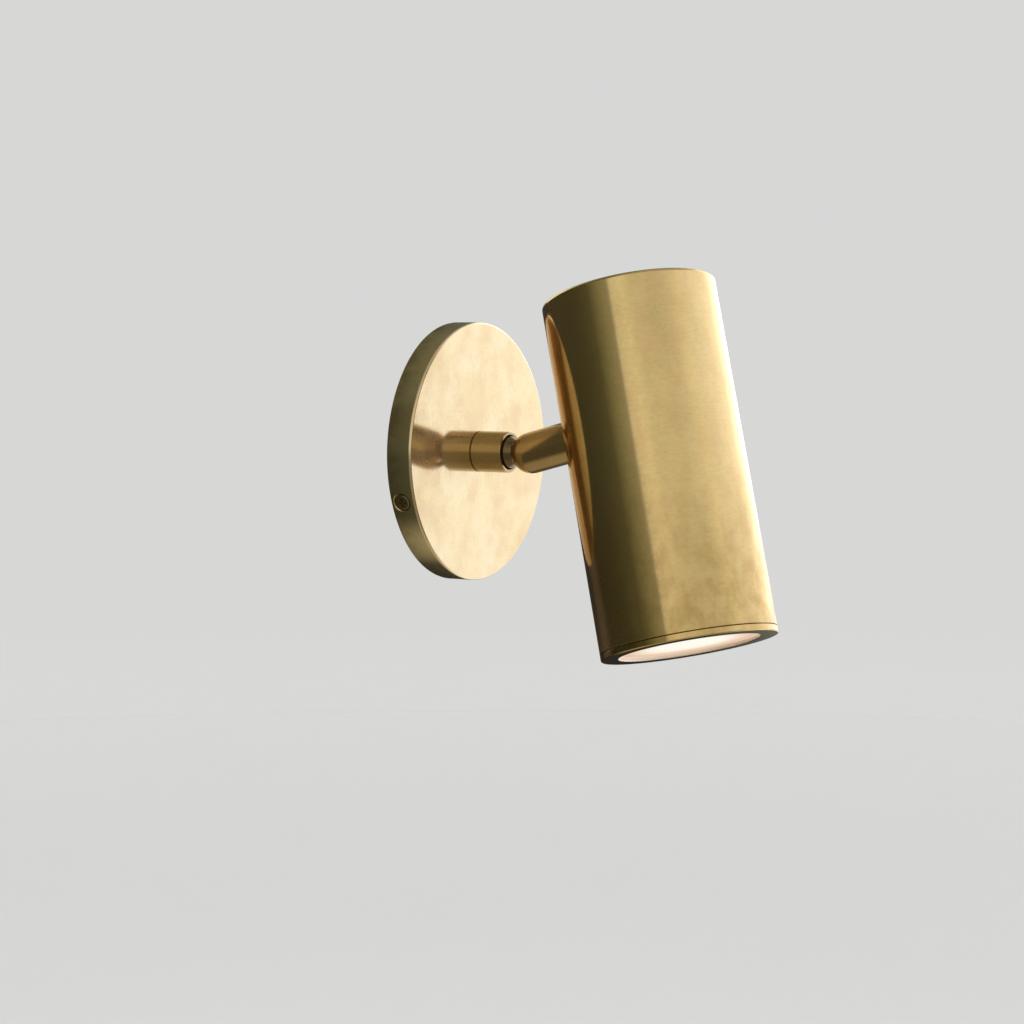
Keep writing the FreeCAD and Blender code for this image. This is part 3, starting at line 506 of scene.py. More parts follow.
@dataclass(frozen=True)
class Corner:
    """A corner of a turned outline, and the stretch that leaves it.

    Attributes:
        radius: distance from the axis.
        height: level along the axis.
        ease: radius of the rounding there, where two straight stretches meet.
        centre: centre of the arc to the next corner, or None for a straight stretch.
        bores: bores that pierce the stretch, as (angle, height, radius).
    """

    radius: float
    height: float
    ease: float = 0.0
    centre: Union[Spot, None] = None
    bores: tuple[Way, ...] = ()


@dataclass(frozen=True)
class Stretch:
    """A short run of an outline with the surface's normal at both its ends."""

    start: Vector
    end: Vector
    start_normal: Vector
    end_normal: Vector
    bores: tuple[Way, ...] = ()


ARC_STEP = math.radians(6.0)


def rotated(vector: Vector, angle: float) -> Vector:
    """A flat vector turned anticlockwise by an angle in radians."""
    cosine, sine = math.cos(angle), math.sin(angle)
    return Vector((vector.x * cosine - vector.y * sine, vector.x * sine + vector.y * cosine))


def angle_between(first: Vector, last: Vector) -> float:
    """The angle from one flat vector to another, anticlockwise."""
    return math.atan2(first.x * last.y - first.y * last.x, first.dot(last))


def arc_stretches(centre: Vector, start: Vector, sweep: float, outward: float) -> Iterator[Stretch]:
    """Divide an arc.

    Args:
        centre: the arc's centre.
        start: where it starts.
        sweep: the angle that it turns through.
        outward: 1 where the surface looks away from the centre, or -1.

    Yields:
        Its short runs.
    """
    steps = max(3, math.ceil(abs(sweep) / ARC_STEP))
    arms = [rotated(start - centre, sweep * step / steps) for step in range(steps + 1)]
    for first, last in zip(arms, arms[1:]):
        looks = first.normalized() * outward, last.normalized() * outward
        yield Stretch(centre + first, centre + last, *looks)


def outline_stretches(corners: Sequence[Corner]) -> list[Stretch]:
    """Follow a closed outline, anticlockwise in radius and height, with its corners eased.

    Args:
        corners: the outline's corners.

    Returns:
        The outline's short runs in order.
    """
    spots = [Vector((corner.radius, corner.height)) for corner in corners]
    count = len(corners)
    trims = [0.0] * count
    turns = [0.0] * count
    for number, corner in enumerate(corners):
        if corner.ease:
            before = (spots[number] - spots[number - 1]).normalized()
            after = (spots[(number + 1) % count] - spots[number]).normalized()
            turns[number] = angle_between(before, after)
            trims[number] = corner.ease * abs(math.tan(turns[number] / 2))
    runs: list[Stretch] = []
    for number, corner in enumerate(corners):
        following = (number + 1) % count
        start, end = spots[number], spots[following]
        if corner.centre is not None:
            centre = Vector(corner.centre)
            sweep = angle_between(start - centre, end - centre)
            runs.extend(arc_stretches(centre, start, sweep, 1.0 if sweep > 0 else -1.0))
            continue
        way = (end - start).normalized()
        normal = Vector((way.y, -way.x))
        far = end - way * trims[following]
        runs.append(Stretch(start + way * trims[number], far, normal, normal, corner.bores))
        if trims[following]:
            side = 1.0 if turns[following] > 0 else -1.0
            centre = far - normal * side * corners[following].ease
            runs.extend(arc_stretches(centre, far, turns[following], side))
    return runs


def around(spot: Vector, angle: float) -> Vector:
    """Carry a point of an outline, as radius and height, round the axis."""
    return Vector((spot.x * math.cos(angle), spot.x * math.sin(angle), spot.y))


@dataclass(frozen=True)
class BorePatch:
    """The patch round a bore in a turned wall, which gives all its rims the same points.

    Attributes:
        radius: the wall's radius.
        low: its lower level.
        high: its upper level.
        columns: how many faces go round the wall.
        rows: how many faces go up it.
        spread: how many columns on each side of the bore the patch takes.
    """

    radius: float
    low: float
    high: float
    columns: int
    rows: int = 10
    spread: int = 10

    @property
    def step(self) -> float:
        """The angle of one column."""
        return math.tau / self.columns

    @property
    def levels(self) -> list[float]:
        """The levels between the rows."""
        return [self.low + (self.high - self.low) * row / self.rows for row in range(self.rows + 1)]

    def border(self, angle: float) -> list[Spot]:
        """Walk round the patch's border, anticlockwise seen from outside.

        Args:
            angle: the bore's place round the axis.

        Returns:
            The border's points, as angle and level.
        """
        step, levels = self.step, self.levels
        middle = round(angle / step) * step
        across = range(-self.spread, self.spread)
        border = [(middle + step * offset, self.low) for offset in across]
        border += [(middle + step * self.spread, level) for level in levels[:-1]]
        border += [(middle - step * offset, levels[-1]) for offset in across]
        border += [(middle - step * self.spread, level) for level in reversed(levels[1:])]
        return border

    def turns(self, angle: float, height: float) -> list[float]:
        """Where the rims' points are round the axis of a bore at an angle and a level."""
        border = self.border(angle)
        return [math.atan2(level - height, (turned - angle) * self.radius) for turned, level in border]


@dataclass(frozen=True)
class BoreStep:
    """One rim of a bore, and how the surface from it to the next looks.

    Attributes:
        radius: the rim's radius about the bore's axis.
        depth: its distance from the main axis, where it is flat.
        wall: the radius of the wall that it lies on, where it isn't flat.
        look_out: how much the surface looks out along the bore.
        look_in: how much it looks at the bore's axis.
    """

    radius: float
    depth: float = 0.0
    wall: float = 0.0
    look_out: float = 0.0
    look_in: float = 1.0


class Skin:
    """Gathers a piece's points and faces, with the exact normal at each corner of a face."""

    points_in_metre = 2e6
    patch_layers = 4

    def __init__(self, place: Matrix) -> None:
        """Start an empty piece.

        Args:
            place: the matrix that puts the piece's own frame in the row's.
        """
        self.place = place
        self.points: list[Vector] = []
        self.known: dict[tuple[int, ...], int] = {}
        self.faces: list[list[int]] = []
        self.normals: list[Vector] = []

    def point(self, where: Vector) -> int:
        """Find or add a point of the piece's own frame.

        Args:
            where: its place.

        Returns:
            Its number.
        """
        key = tuple(round(part * self.points_in_metre) for part in where)
        if key not in self.known:
            self.known[key] = len(self.points)
            self.points.append(where.copy())
        return self.known[key]

    def face(self, corners: Sequence[Vector], normals: Sequence[Vector]) -> None:
        """Add a face that looks the way its normals do.

        Args:
            corners: its corners in order.
            normals: the surface's normal at each.
        """
        kept: list[int] = []
        looks: list[Vector] = []
        for corner, normal in zip(corners, normals):
            index = self.point(corner)
            if index not in kept:
                kept.append(index)
                looks.append(normal)
        if len(kept) < 3:
            return
        first, second, third = (self.points[index] for index in kept[:3])
        flat = (second - first).cross(third - second)
        if len(kept) > 3:
            flat = (third - first).cross(self.points[kept[3]] - second)
        if flat.dot(sum(looks, Vector((0.0, 0.0, 0.0)))) < 0:
            kept.reverse()
            looks.reverse()
        self.faces.append(kept)
        self.normals.extend(looks)

    def band(self, low: Sequence[Vector], high: Sequence[Vector], first: float, last: float) -> None:
        """Add the face between two points of an outline and two angles.

        Args:
            low: the first point and its normal.
            high: the second point and its normal.
            first: the angle where the face starts.
            last: the angle where it ends.
        """
        ends = ((low, first), (low, last), (high, last), (high, first))
        corners, normals = ([around(end[part], angle) for end, angle in ends] for part in (0, 1))
        self.face(corners, normals)

    def turn(self, corners: Sequence[Corner], columns: int = 192) -> None:
        """Turn a closed outline about the axis.

        Args:
            corners: the outline, anticlockwise in radius and height.
            columns: how many faces go round.
        """
        angles = [math.tau * column / columns for column in range(columns + 1)]
        for run in outline_stretches(corners):
            if run.bores:
                self._pierced(run, columns)
                continue
            for first, last in zip(angles, angles[1:]):
                self.band((run.start, run.start_normal), (run.end, run.end_normal), first, last)

    def _pierced(self, run: Stretch, columns: int) -> None:
        """Turn a straight wall with round bores through it.

        Args:
            run: the wall, with its bores.
            columns: how many faces go round.
        """
        normal = Vector((1.0 if run.start_normal.x > 0 else -1.0, 0.0))
        patch = BorePatch(run.start.x, *sorted((run.start.y, run.end.y)), columns)
        radius, step, levels = patch.radius, patch.step, patch.levels
        patched: set[int] = set()
        for angle, height, bore in run.bores:
            middle = round(angle / step)
            patched.update((middle + offset) % columns for offset in range(-patch.spread, patch.spread))
            ring = []
            for turned in patch.turns(angle, height):
                aside = math.asin(bore * math.cos(turned) / radius)
                ring.append((angle + aside, height + bore * math.sin(turned)))
            self._ring_of_faces(patch.border(angle), ring, radius, normal)
        for column in range(columns):
            if column not in patched:
                for under, over in zip(levels, levels[1:]):
                    ends = ((Vector((radius, level)), normal) for level in (under, over))
                    self.band(*ends, column * step, (column + 1) * step)

    def _ring_of_faces(self, rim: list[Spot], ring: list[Spot], radius: float, normal: Vector) -> None:
        """Fill a wall between a patch's border and a bore.

        Args:
            rim: the border's points, as angle and level.
            ring: the bore's points.
            radius: the wall's radius.
            normal: how the wall looks.
        """
        grids = []
        for layer in range(self.patch_layers + 1):
            share = layer / self.patch_layers
            grids.append([(a + (c - a) * share, b + (d - b) * share) for (a, b), (c, d) in zip(rim, ring)])
        for outer, inner in zip(grids, grids[1:]):
            for number in range(len(outer)):
                following = (number + 1) % len(outer)
                spots = (outer[number], outer[following], inner[following], inner[number])
                self.face(
                    [around(Vector((radius, level)), turned) for turned, level in spots],
                    [around(normal, turned) for turned, level in spots],
                )

    def drilled(self, angle: float, height: float, patch: BorePatch, steps: Sequence[BoreStep]) -> None:
        """Line a bore that runs in from the side, from step to step.

        Args:
            angle: the bore's place round the axis.
            height: its level.
            patch: the patch that the bore's rim was made with.
            steps: its rims, from outside in.
        """
        out = Vector((math.cos(angle), math.sin(angle), 0.0))
        aside = Vector((-math.sin(angle), math.cos(angle), 0.0))
        up = Vector((0.0, 0.0, 1.0))
        turns = patch.turns(angle, height)
        for near, far in zip(steps, steps[1:]):
            for first, last in zip(turns, turns[1:] + turns[:1]):
                corners, normals = [], []
                for step, turn in ((near, first), (near, last), (far, last), (far, first)):
                    across = step.radius * math.cos(turn)
                    depth = math.sqrt(step.wall**2 - across**2) if step.wall else step.depth
                    round_bore = aside * math.cos(turn) + up * math.sin(turn)
                    corners.append(out * depth + round_bore * step.radius + up * height)
                    normals.append((out * near.look_out - round_bore * near.look_in).normalized())
                self.face(corners, normals)

    def thing(self, name: str) -> bpy.types.Object:
        """Make the object, in the scene.

        Args:
            name: the piece's name.

        Returns:
            The object.
        """
        turning = self.place.to_3x3()
        mesh = bpy.data.meshes.new(name)
        mesh.from_pydata([self.place @ point for point in self.points], [], self.faces)
        mesh.shade_smooth()
        mesh.normals_split_custom_set([(turning @ normal).normalized() for normal in self.normals])
        made = bpy.data.objects.new(name, mesh)
        bpy.context.scene.collection.objects.link(made)
        return made


def shift(x: float, y: float, z: float) -> Matrix:
    """A matrix that moves."""
    return Matrix.Translation((x, y, z))


def spin(degrees: float, axis: str) -> Matrix:
    """A matrix that turns about a main axis."""
    return Matrix.Rotation(math.radians(degrees), 4, axis)


@dataclass(frozen=True)
class Layout:
    """Where the sub-assemblies sit, as the real lamp is adjusted in the photograph.

    Attributes:
        plate_depth: how far the backplate stands out.
        arm_length: the arm's length in front of it.
        stem_diameter: the stem's diameter.
        stem_length: from the ball's centre to the shade.
        shade_diameter: the shade's diameter.
        swivel_gap: the gap between the arm's collar and the stem's round end.
        collar_reveal: how far the collar's hollow face lies outside the arm.
        rest_tilt: how far the stem leans up.
        rest_twist: how far the shade is turned on the stem.
    """

    plate_depth: float = 12.5 * MM
    arm_length: float = 16.0 * MM
    stem_diameter: float = 19.05 * MM
    stem_length: float = 23.7 * MM
    shade_diameter: float = 79.2 * MM
    swivel_gap: float = 0.33 * MM
    collar_reveal: float = 1.85 * MM
    rest_tilt: float = 15.1
    rest_twist: float = -7.2

    @property
    def arm_end(self) -> float:
        """Level of the arm's mouth."""
        return self.plate_depth + self.arm_length

    @property
    def pivot(self) -> float:
        """Distance of the ball's centre from the wall."""
        return self.arm_end + self.collar_reveal + self.swivel_gap + self.stem_diameter / 2

    @property
    def to_shade(self) -> float:
        """Distance from the ball's centre to the shade's axis."""
        return self.stem_length + self.shade_diameter / 2

    @property
    def out_of_wall(self) -> Matrix:
        """The frame of the pieces that look out of the wall."""
        return spin(90.0, "X")

    @property
    def along_stem(self) -> Matrix:
        """The frame of the stem's pieces, from the ball's centre."""
        return shift(0.0, -self.pivot, 0.0) @ spin(90.0 - self.rest_tilt, "X") @ spin(self.rest_twist, "Z")

    @property
    def up_shade(self) -> Matrix:
        """The frame of the shade's pieces, up its axis from the stem's level."""
        return self.along_stem @ shift(0.0, 0.0, self.to_shade) @ spin(-90.0, "X")


LAYOUT = Layout()


def dress(thing: bpy.types.Object, material: bpy.types.Material) -> None:
    """Give an object one material in place of those it has."""
    thing.data.materials.clear()
    thing.data.materials.append(material)


def settle(thing: bpy.types.Object, finish: Any, body: str, node: str) -> None:
    """Dress a piece and put it on its body in place of the solid it stands for.

    Args:
        thing: the piece.
        finish: its finish.
        body: the body it rides on.
        node: the node it replaces.
    """
    dress(thing, finish.material())
    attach(thing, body)
    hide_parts(node)
    log.info("%s rides on %s, %d faces", thing.name, body, len(thing.data.polygons))


def tinted(colour: Colour, cast: Colour) -> Colour:
    """A colour with each part scaled."""
    return (colour[0] * cast[0], colour[1] * cast[1], colour[2] * cast[2])


def worn_brass(name: str, place: Matrix, cast: Colour, seam: Union[float, None] = None) -> AgedBrass:
    """The duller finish of the arm, the collar and the stem.

    Args:
        name: the material's name.
        place: the frame of the piece.
        cast: how much of each part of the colour the piece has; on the collar it darkens the colour as
            painted shade.
        seam: the level of a joint that gets a painted shade line, or None.

    Returns:
        The finish.
    """
    return AgedBrass(
        name, place, age=0.85, polish=0.13, haze=0.38, brush=0.4, seam=seam,
        bright=tinted((0.55, 0.415, 0.2), cast), olive=tinted((0.46, 0.36, 0.165), cast),
        tan=tinted((0.49, 0.35, 0.18), cast),
    )


@dataclass
class Backplate:
    """The hollow turned canopy with the two screws in its rim."""

    radius: float = 60.0 * MM
    depth: float = LAYOUT.plate_depth
    face: float = 3.0 * MM
    rim: float = 3.2 * MM
    edge_round: float = 1.1 * MM
    ease: float = 0.16 * MM
    inner_round: float = 1.5 * MM
    hole: float = 5.2 * MM
    screw_turn: float = 20.5
    screw_inset: float = 4.0 * MM
    recess_radius: float = 4.3 * MM
    recess_depth: float = 1.9 * MM
    recess_edge: float = 0.22 * MM
    recess_edge_depth: float = 0.528 * MM
    screw_hole: float = 2.2 * MM
    columns: int = 360

    def build(self) -> None:
        """Turn the plate, line its two recesses and dress it."""
        place = LAYOUT.out_of_wall @ spin(self.screw_turn, "Z")
        skin = Skin(place)
        back = self.depth - self.face
        inside = self.radius - self.rim
        level = back - self.screw_inset
        mouth = self.recess_radius + self.recess_edge
        floor = self.radius - self.recess_depth
        angles = (0.0, math.pi)
        corner = (inside - self.inner_round, back - self.inner_round)
        outline = [
            Corner(self.hole, back),
            Corner(corner[0], back, centre=corner),
            Corner(inside, corner[1], bores=tuple((angle, level, self.screw_hole) for angle in angles)),
            Corner(inside, 0.0, self.ease),
            Corner(self.radius, 0.0, self.ease, bores=tuple((angle, level, mouth) for angle in angles)),
            Corner(self.radius, self.depth, self.edge_round),
            Corner(self.hole, self.depth),
        ]
        skin.turn(outline, self.columns)
        patch = BorePatch(self.radius, self.ease, self.depth - self.edge_round, self.columns)
        steps = [
            BoreStep(mouth, wall=self.radius, look_out=1.0),
            BoreStep(self.recess_radius, depth=self.radius - self.recess_edge_depth),
            BoreStep(self.recess_radius, depth=floor, look_out=1.0, look_in=0.0),
            BoreStep(self.screw_hole, depth=floor),
            BoreStep(self.screw_hole, wall=inside),
        ]
        for angle in angles:
            skin.drilled(angle, level, patch, steps)
        # The paler, less saturated brass is a painted highlight, standing for the bleached look of the
        # brightly lit face; the rim darkens towards the wall as painted shade.
        finish = AgedBrass(
            "backplate_brass", place, Grain.EVEN, age=1.15, polish=0.09, haze=0.26, brush=0.1, fine=0.3,
            bright=(0.87, 0.72, 0.42), olive=(0.84, 0.66, 0.31), tan=(0.82, 0.61, 0.32),
            ochre=(0.2, 0.15, 0.04), darkens_below=(1.0 * MM, 11.3 * MM),
        )
        settle(skin.thing("backplate_turned"), finish, "wall_side", "backplate")


@dataclass
class Arm:
    """The short round arm with its open mouth."""

    radius: float = 9.525 * MM
    mouth_wall: float = 1.6 * MM
    mouth_depth: float = 5.2 * MM
    mouth_bevel: float = 0.3 * MM
    bevel_ease: float = 0.1 * MM
    base_bevel: float = 0.45 * MM
    web: float = 2.4 * MM
    chamber_wall: float = 2.0 * MM
    shank: float = 3.975 * MM
    running_gap: float = 0.08 * MM
    cast: Colour = (1.0, 0.98, 0.97)

    def build(self) -> None:
        """Turn the arm and dress it."""
        base, end = LAYOUT.plate_depth, LAYOUT.arm_end
        mouth = self.radius - self.mouth_wall
        chamber = self.radius - self.chamber_wall
        bore = self.shank + self.running_gap
        web_front = end - self.mouth_depth
        web_back = web_front - self.web
        skin = Skin(LAYOUT.out_of_wall)
        outline = [
            Corner(chamber, base),
            Corner(self.radius - self.base_bevel, base),
            Corner(self.radius, base + self.base_bevel),
            Corner(self.radius, end - self.mouth_bevel, self.bevel_ease),
            Corner(self.radius - self.mouth_bevel, end, self.bevel_ease),
            Corner(mouth + self.mouth_bevel, end, self.bevel_ease),
            Corner(mouth, end - self.mouth_bevel, self.bevel_ease),
            Corner(mouth, web_front),
            Corner(bore, web_front),
            Corner(bore, web_back),
            Corner(chamber, web_back),
        ]
        skin.turn(outline)
        # The seam at the arm's foot is a painted shade line where the arm meets the plate.
        finish = worn_brass("arm_brass", LAYOUT.out_of_wall, self.cast, base + self.base_bevel / 2)
        settle(skin.thing("arm_turned"), finish, "wall_side", "arm_tube")


@dataclass
class Swivel:
    """The stud with its ball, and the collar screwed on it."""

    shank: float = 3.975 * MM
    neck: float = 3.05 * MM
    ball: float = 7.575 * MM
    bore: float = 2.0 * MM
    flare: float = 0.8 * MM
    shank_start: float = 17.4 * MM
    shank_ease: float = 0.3 * MM
    collar: float = 7.375 * MM
    collar_cone: float = 1.8 * MM
    collar_back: float = 23.9 * MM
    collar_proud: float = 0.7 * MM
    back_ease: float = 0.15 * MM
    shoulder_ease: float = 0.2 * MM
    thread_gap: float = 0.05 * MM
    stud_columns: int = 128
    collar_columns: int = 160
    # Scaled down as painted shade, for the collar's place in the recess between the arm's mouth and the
    # stem.
    cast: Colour = (0.4, 0.38, 0.33)

    def face_at(self, radius: float) -> float:
        """Level of the collar's hollow face, which the stem's end sweeps past, at a radius."""
        sweep = LAYOUT.stem_diameter / 2 + LAYOUT.swivel_gap
        return LAYOUT.pivot - math.sqrt(sweep**2 - radius**2)

    def build(self) -> None:
        """Turn both pieces and dress them."""
        centre = (0.0, LAYOUT.pivot)
        nose = math.sqrt(self.ball**2 - self.neck**2)
        stud = Skin(LAYOUT.out_of_wall)
        outline = [
            Corner(self.bore, self.shank_start),
            Corner(self.shank, self.shank_start, self.shank_ease),
            Corner(self.shank, self.face_at(self.shank), centre=centre),
            Corner(self.neck, self.face_at(self.neck)),
            Corner(self.neck, LAYOUT.pivot - nose, centre=centre),
            Corner(self.ball, LAYOUT.pivot, centre=centre),
            Corner(self.neck, LAYOUT.pivot + nose),
            Corner(self.bore + self.flare, LAYOUT.pivot + nose),
            Corner(self.bore, LAYOUT.pivot + nose - self.flare),
        ]
        stud.turn(outline, self.stud_columns)
        bright = PlainMetal("stud_brass", (0.83, 0.66, 0.36), (0.62, 0.46, 0.22), 0.2)
        settle(stud.thing("ball_stud_turned"), bright, "swivel_stud", "ball_stud")
        inner = self.shank + self.thread_gap
        tip = self.collar - self.collar_cone
        collar = Skin(LAYOUT.out_of_wall)
        outline = [
            Corner(inner, self.collar_back),
            Corner(self.collar, self.collar_back, self.back_ease),
            Corner(self.collar, LAYOUT.arm_end + self.collar_proud, self.shoulder_ease),
            Corner(tip, self.face_at(tip), centre=centre),
            Corner(inner, self.face_at(inner)),
        ]
        collar.turn(outline, self.collar_columns)
        worn = worn_brass("collar_brass", LAYOUT.out_of_wall, self.cast)
        settle(collar.thing("swivel_collar_turned"), worn, "swivel_stud", "swivel_collar")


@dataclass
class Stem:
    """The round-ended stem that holds the ball, coped to the shade."""

    radius: float = 9.525 * MM
    wall: float = 1.8 * MM
    mouth: float = 6.275 * MM
    edge: float = 0.25 * MM
    spare: float = 6.0 * MM
    cast: Colour = (1.06, 0.95, 0.9)

    def build(self) -> None:
        """Turn the stem, cut its far end to the shade's curve and dress it."""
        inner = self.radius - self.wall
        lip = self.mouth + self.edge
        rim = -math.sqrt(self.radius**2 - lip**2)
        end = LAYOUT.stem_length + self.spare
        skin = Skin(LAYOUT.along_stem)
        outline = [
            Corner(self.mouth, -math.sqrt(inner**2 - self.mouth**2)),
            Corner(self.mouth, self.edge + rim),
            Corner(lip, rim, centre=(0.0, 0.0)),
            Corner(self.radius, 0.0),
            Corner(self.radius, end),
            Corner(inner, end),
            Corner(inner, 0.0, centre=(0.0, 0.0)),
        ]
        skin.turn(outline)
        shade = LAYOUT.shade_diameter / 2
        for point in skin.points:
            if point.z > LAYOUT.stem_length:
                point.z = LAYOUT.to_shade - math.sqrt(shade**2 - point.x**2)
        finish = worn_brass("stem_brass", LAYOUT.along_stem, self.cast)
        settle(skin.thing("stem_turned"), finish, "head", "stem_socket")


@dataclass
class Shade:
    """The closed-top cylinder shade."""

    radius: float = LAYOUT.shade_diameter / 2
    wall: float = 1.6 * MM
    rise: float = 58.4 * MM
    mouth: float = -100.8 * MM
    top: float = 2.0 * MM
    top_round: float = 1.5 * MM
    inner_round: float = 0.8 * MM
    seam_bevel: float = 0.2 * MM
    bevel_ease: float = 0.1 * MM
    seam_depth: float = 0.1 * MM
    thread: float = 38.7 * MM
    thread_top: float = -95.8 * MM
    columns: int = 360

    def build(self) -> None:
        """Turn the shade and dress it."""
        inner = self.radius - self.wall
        skin = Skin(LAYOUT.up_shade)
        outline = [
            Corner(self.thread, self.mouth),
            Corner(self.radius - self.seam_bevel, self.mouth, self.bevel_ease),
            Corner(self.radius, self.mouth + self.seam_bevel, self.bevel_ease),
            Corner(self.radius, self.rise, self.top_round),
            Corner(0.0, self.rise),
            Corner(0.0, self.rise - self.top),
            Corner(inner, self.rise - self.top, self.inner_round),
            Corner(inner, self.thread_top),
            Corner(self.thread, self.thread_top),
        ]
        skin.turn(outline, self.columns)
        # The side towards the wall gets a painted reflection of the plate and the mouth a painted shade
        # line; the brass darkens towards the bottom.
        finish = AgedBrass(
            "shade_brass", LAYOUT.up_shade, age=1.15, haze=0.098, dulls=4.2, wall_side=0.55,
            darkens_below=(-100.0 * MM, -20.0 * MM), seam=self.mouth - self.seam_depth, worn_edge=self.rise,
        )
        settle(skin.thing("shade_turned"), finish, "head", "shade")


@dataclass
class Opening:
    """The trim ring round the opening, and the lens that it holds."""

    radius: float = LAYOUT.shade_diameter / 2
    base: float = -103.9 * MM
    shoulder: float = -101.0 * MM
    opening: float = 31.5 * MM
    lip: float = 1.6 * MM
    bevel: float = 0.4 * MM
    bevel_ease: float = 0.12 * MM
    seam_bevel: float = 0.2 * MM
    seam_ease: float = 0.08 * MM
    seam_depth: float = 0.1 * MM
    spigot: float = 38.6 * MM
    spigot_top: float = -96.7 * MM
    spigot_ease: float = 0.3 * MM
    pocket: float = 35.3 * MM
    lens_radius: float = 35.2 * MM
    lens_back: float = -102.25 * MM
    lens_thickness: float = 3.2 * MM
    lens_bevel: float = 0.5 * MM
    columns: int = 360

    def build(self) -> None:
        """Turn ring and lens and dress them."""
        ring = Skin(LAYOUT.up_shade)
        outline = [
            Corner(self.opening + self.bevel, self.base, self.bevel_ease),
            Corner(self.radius - self.bevel, self.base, self.bevel_ease),
            Corner(self.radius, self.base + self.bevel, self.bevel_ease),
            Corner(self.radius, self.shoulder - self.seam_bevel, self.seam_ease),
            Corner(self.radius - self.seam_bevel, self.shoulder, self.seam_ease),
            Corner(self.spigot, self.shoulder),
            Corner(self.spigot, self.spigot_top, self.spigot_ease),
            Corner(self.pocket, self.spigot_top),
            Corner(self.pocket, self.base + self.lip),
            Corner(self.opening, self.base + self.lip),
            Corner(self.opening, self.base + self.bevel, self.bevel_ease),
        ]
        ring.turn(outline, self.columns)
        # The side towards the wall gets a painted reflection, the shoulder a painted shade line and the bore
        # a painted highlight; the ring darkens towards the bottom.
        finish = AgedBrass(
            "ring_brass", LAYOUT.up_shade, polish=0.045, haze=0.012, wall_side=0.5, bore=self.opening,
            darkens_below=(-100.0 * MM, -30.0 * MM), seam=self.shoulder + self.seam_depth,
        )
        settle(ring.thing("trim_ring_turned"), finish, "trim_ring", "trim_ring")
        front = self.lens_back + self.lens_thickness
        lens = Skin(LAYOUT.up_shade)
        outline = [
            Corner(0.0, self.lens_back),
            Corner(self.lens_radius, self.lens_back, self.lens_bevel),
            Corner(self.lens_radius, front, self.lens_bevel),
            Corner(0.0, front),
        ]
        lens.turn(outline)
        glass = LitGlass("lens_glass", LAYOUT.up_shade, self.opening)
        settle(lens.thing("lens_disc"), glass, "lens_unit", "lens")


class Hardware:
    """The pieces whose solids are shown as they are, each with a finish of its own."""

    def __init__(self) -> None:
        """Choose the finishes by the record's material slots."""
        self.finishes: dict[str, Union[PlainMetal, Moulded]] = {
            "plain_brass": PlainMetal("plain_brass", (0.83, 0.66, 0.36), (0.62, 0.46, 0.22)),
            "brass_screw": PlainMetal("screw_brass", (0.42, 0.31, 0.16), (0.22, 0.155, 0.075), 0.3),
            "zinc_steel": PlainMetal("zinc_steel", (0.74, 0.75, 0.76), (0.66, 0.67, 0.7), 0.3, 0.55),
            "bare_steel": PlainMetal("bare_steel", (0.6, 0.6, 0.61), (0.4, 0.4, 0.42), 0.3),
            "green_screw": PlainMetal("green_screw", (0.1, 0.45, 0.18), (0.06, 0.32, 0.12), 0.3, 0.5),
            "nylon": Moulded("nylon", (0.86, 0.84, 0.78), (0.8, 0.77, 0.69), 0.42),
            "ceramic": Moulded("ceramic", (0.88, 0.87, 0.83), (0.83, 0.81, 0.76), 0.3, coat=0.7),
            "lamp_plastic": Moulded("lamp_plastic", (0.9, 0.9, 0.88), (0.84, 0.84, 0.82), 0.32),
            "white_enamel": Moulded("white_enamel", (0.9, 0.9, 0.87), (0.84, 0.84, 0.8), 0.55),
            "silicone": Moulded("silicone", (0.85, 0.85, 0.83), (0.78, 0.78, 0.76), 0.6),
        }

    def build(self) -> None:
        """Dress every solid that no finer piece replaces."""
        made: dict[str, bpy.types.Material] = {}
        for part in frame["record"]["subparts"]:
            slot = part["material_slot"]
            if slot not in self.finishes:
                continue
            if slot not in made:
                made[slot] = self.finishes[slot].material()
            dress(frame["nodes"][part["node"]], made[slot])
            log.info("%s keeps its solid, dressed as %s", part["node"], slot)


@dataclass(frozen=True)
class Panel:
    """A soft round light far away.

    Attributes:
        way: the direction that it is seen in.
        inner: how far it is full, in degrees.
        outer: where it has faded out, in degrees.
        strength: how bright it is.
    """

    way: Way
    inner: float
    outer: float
    strength: float


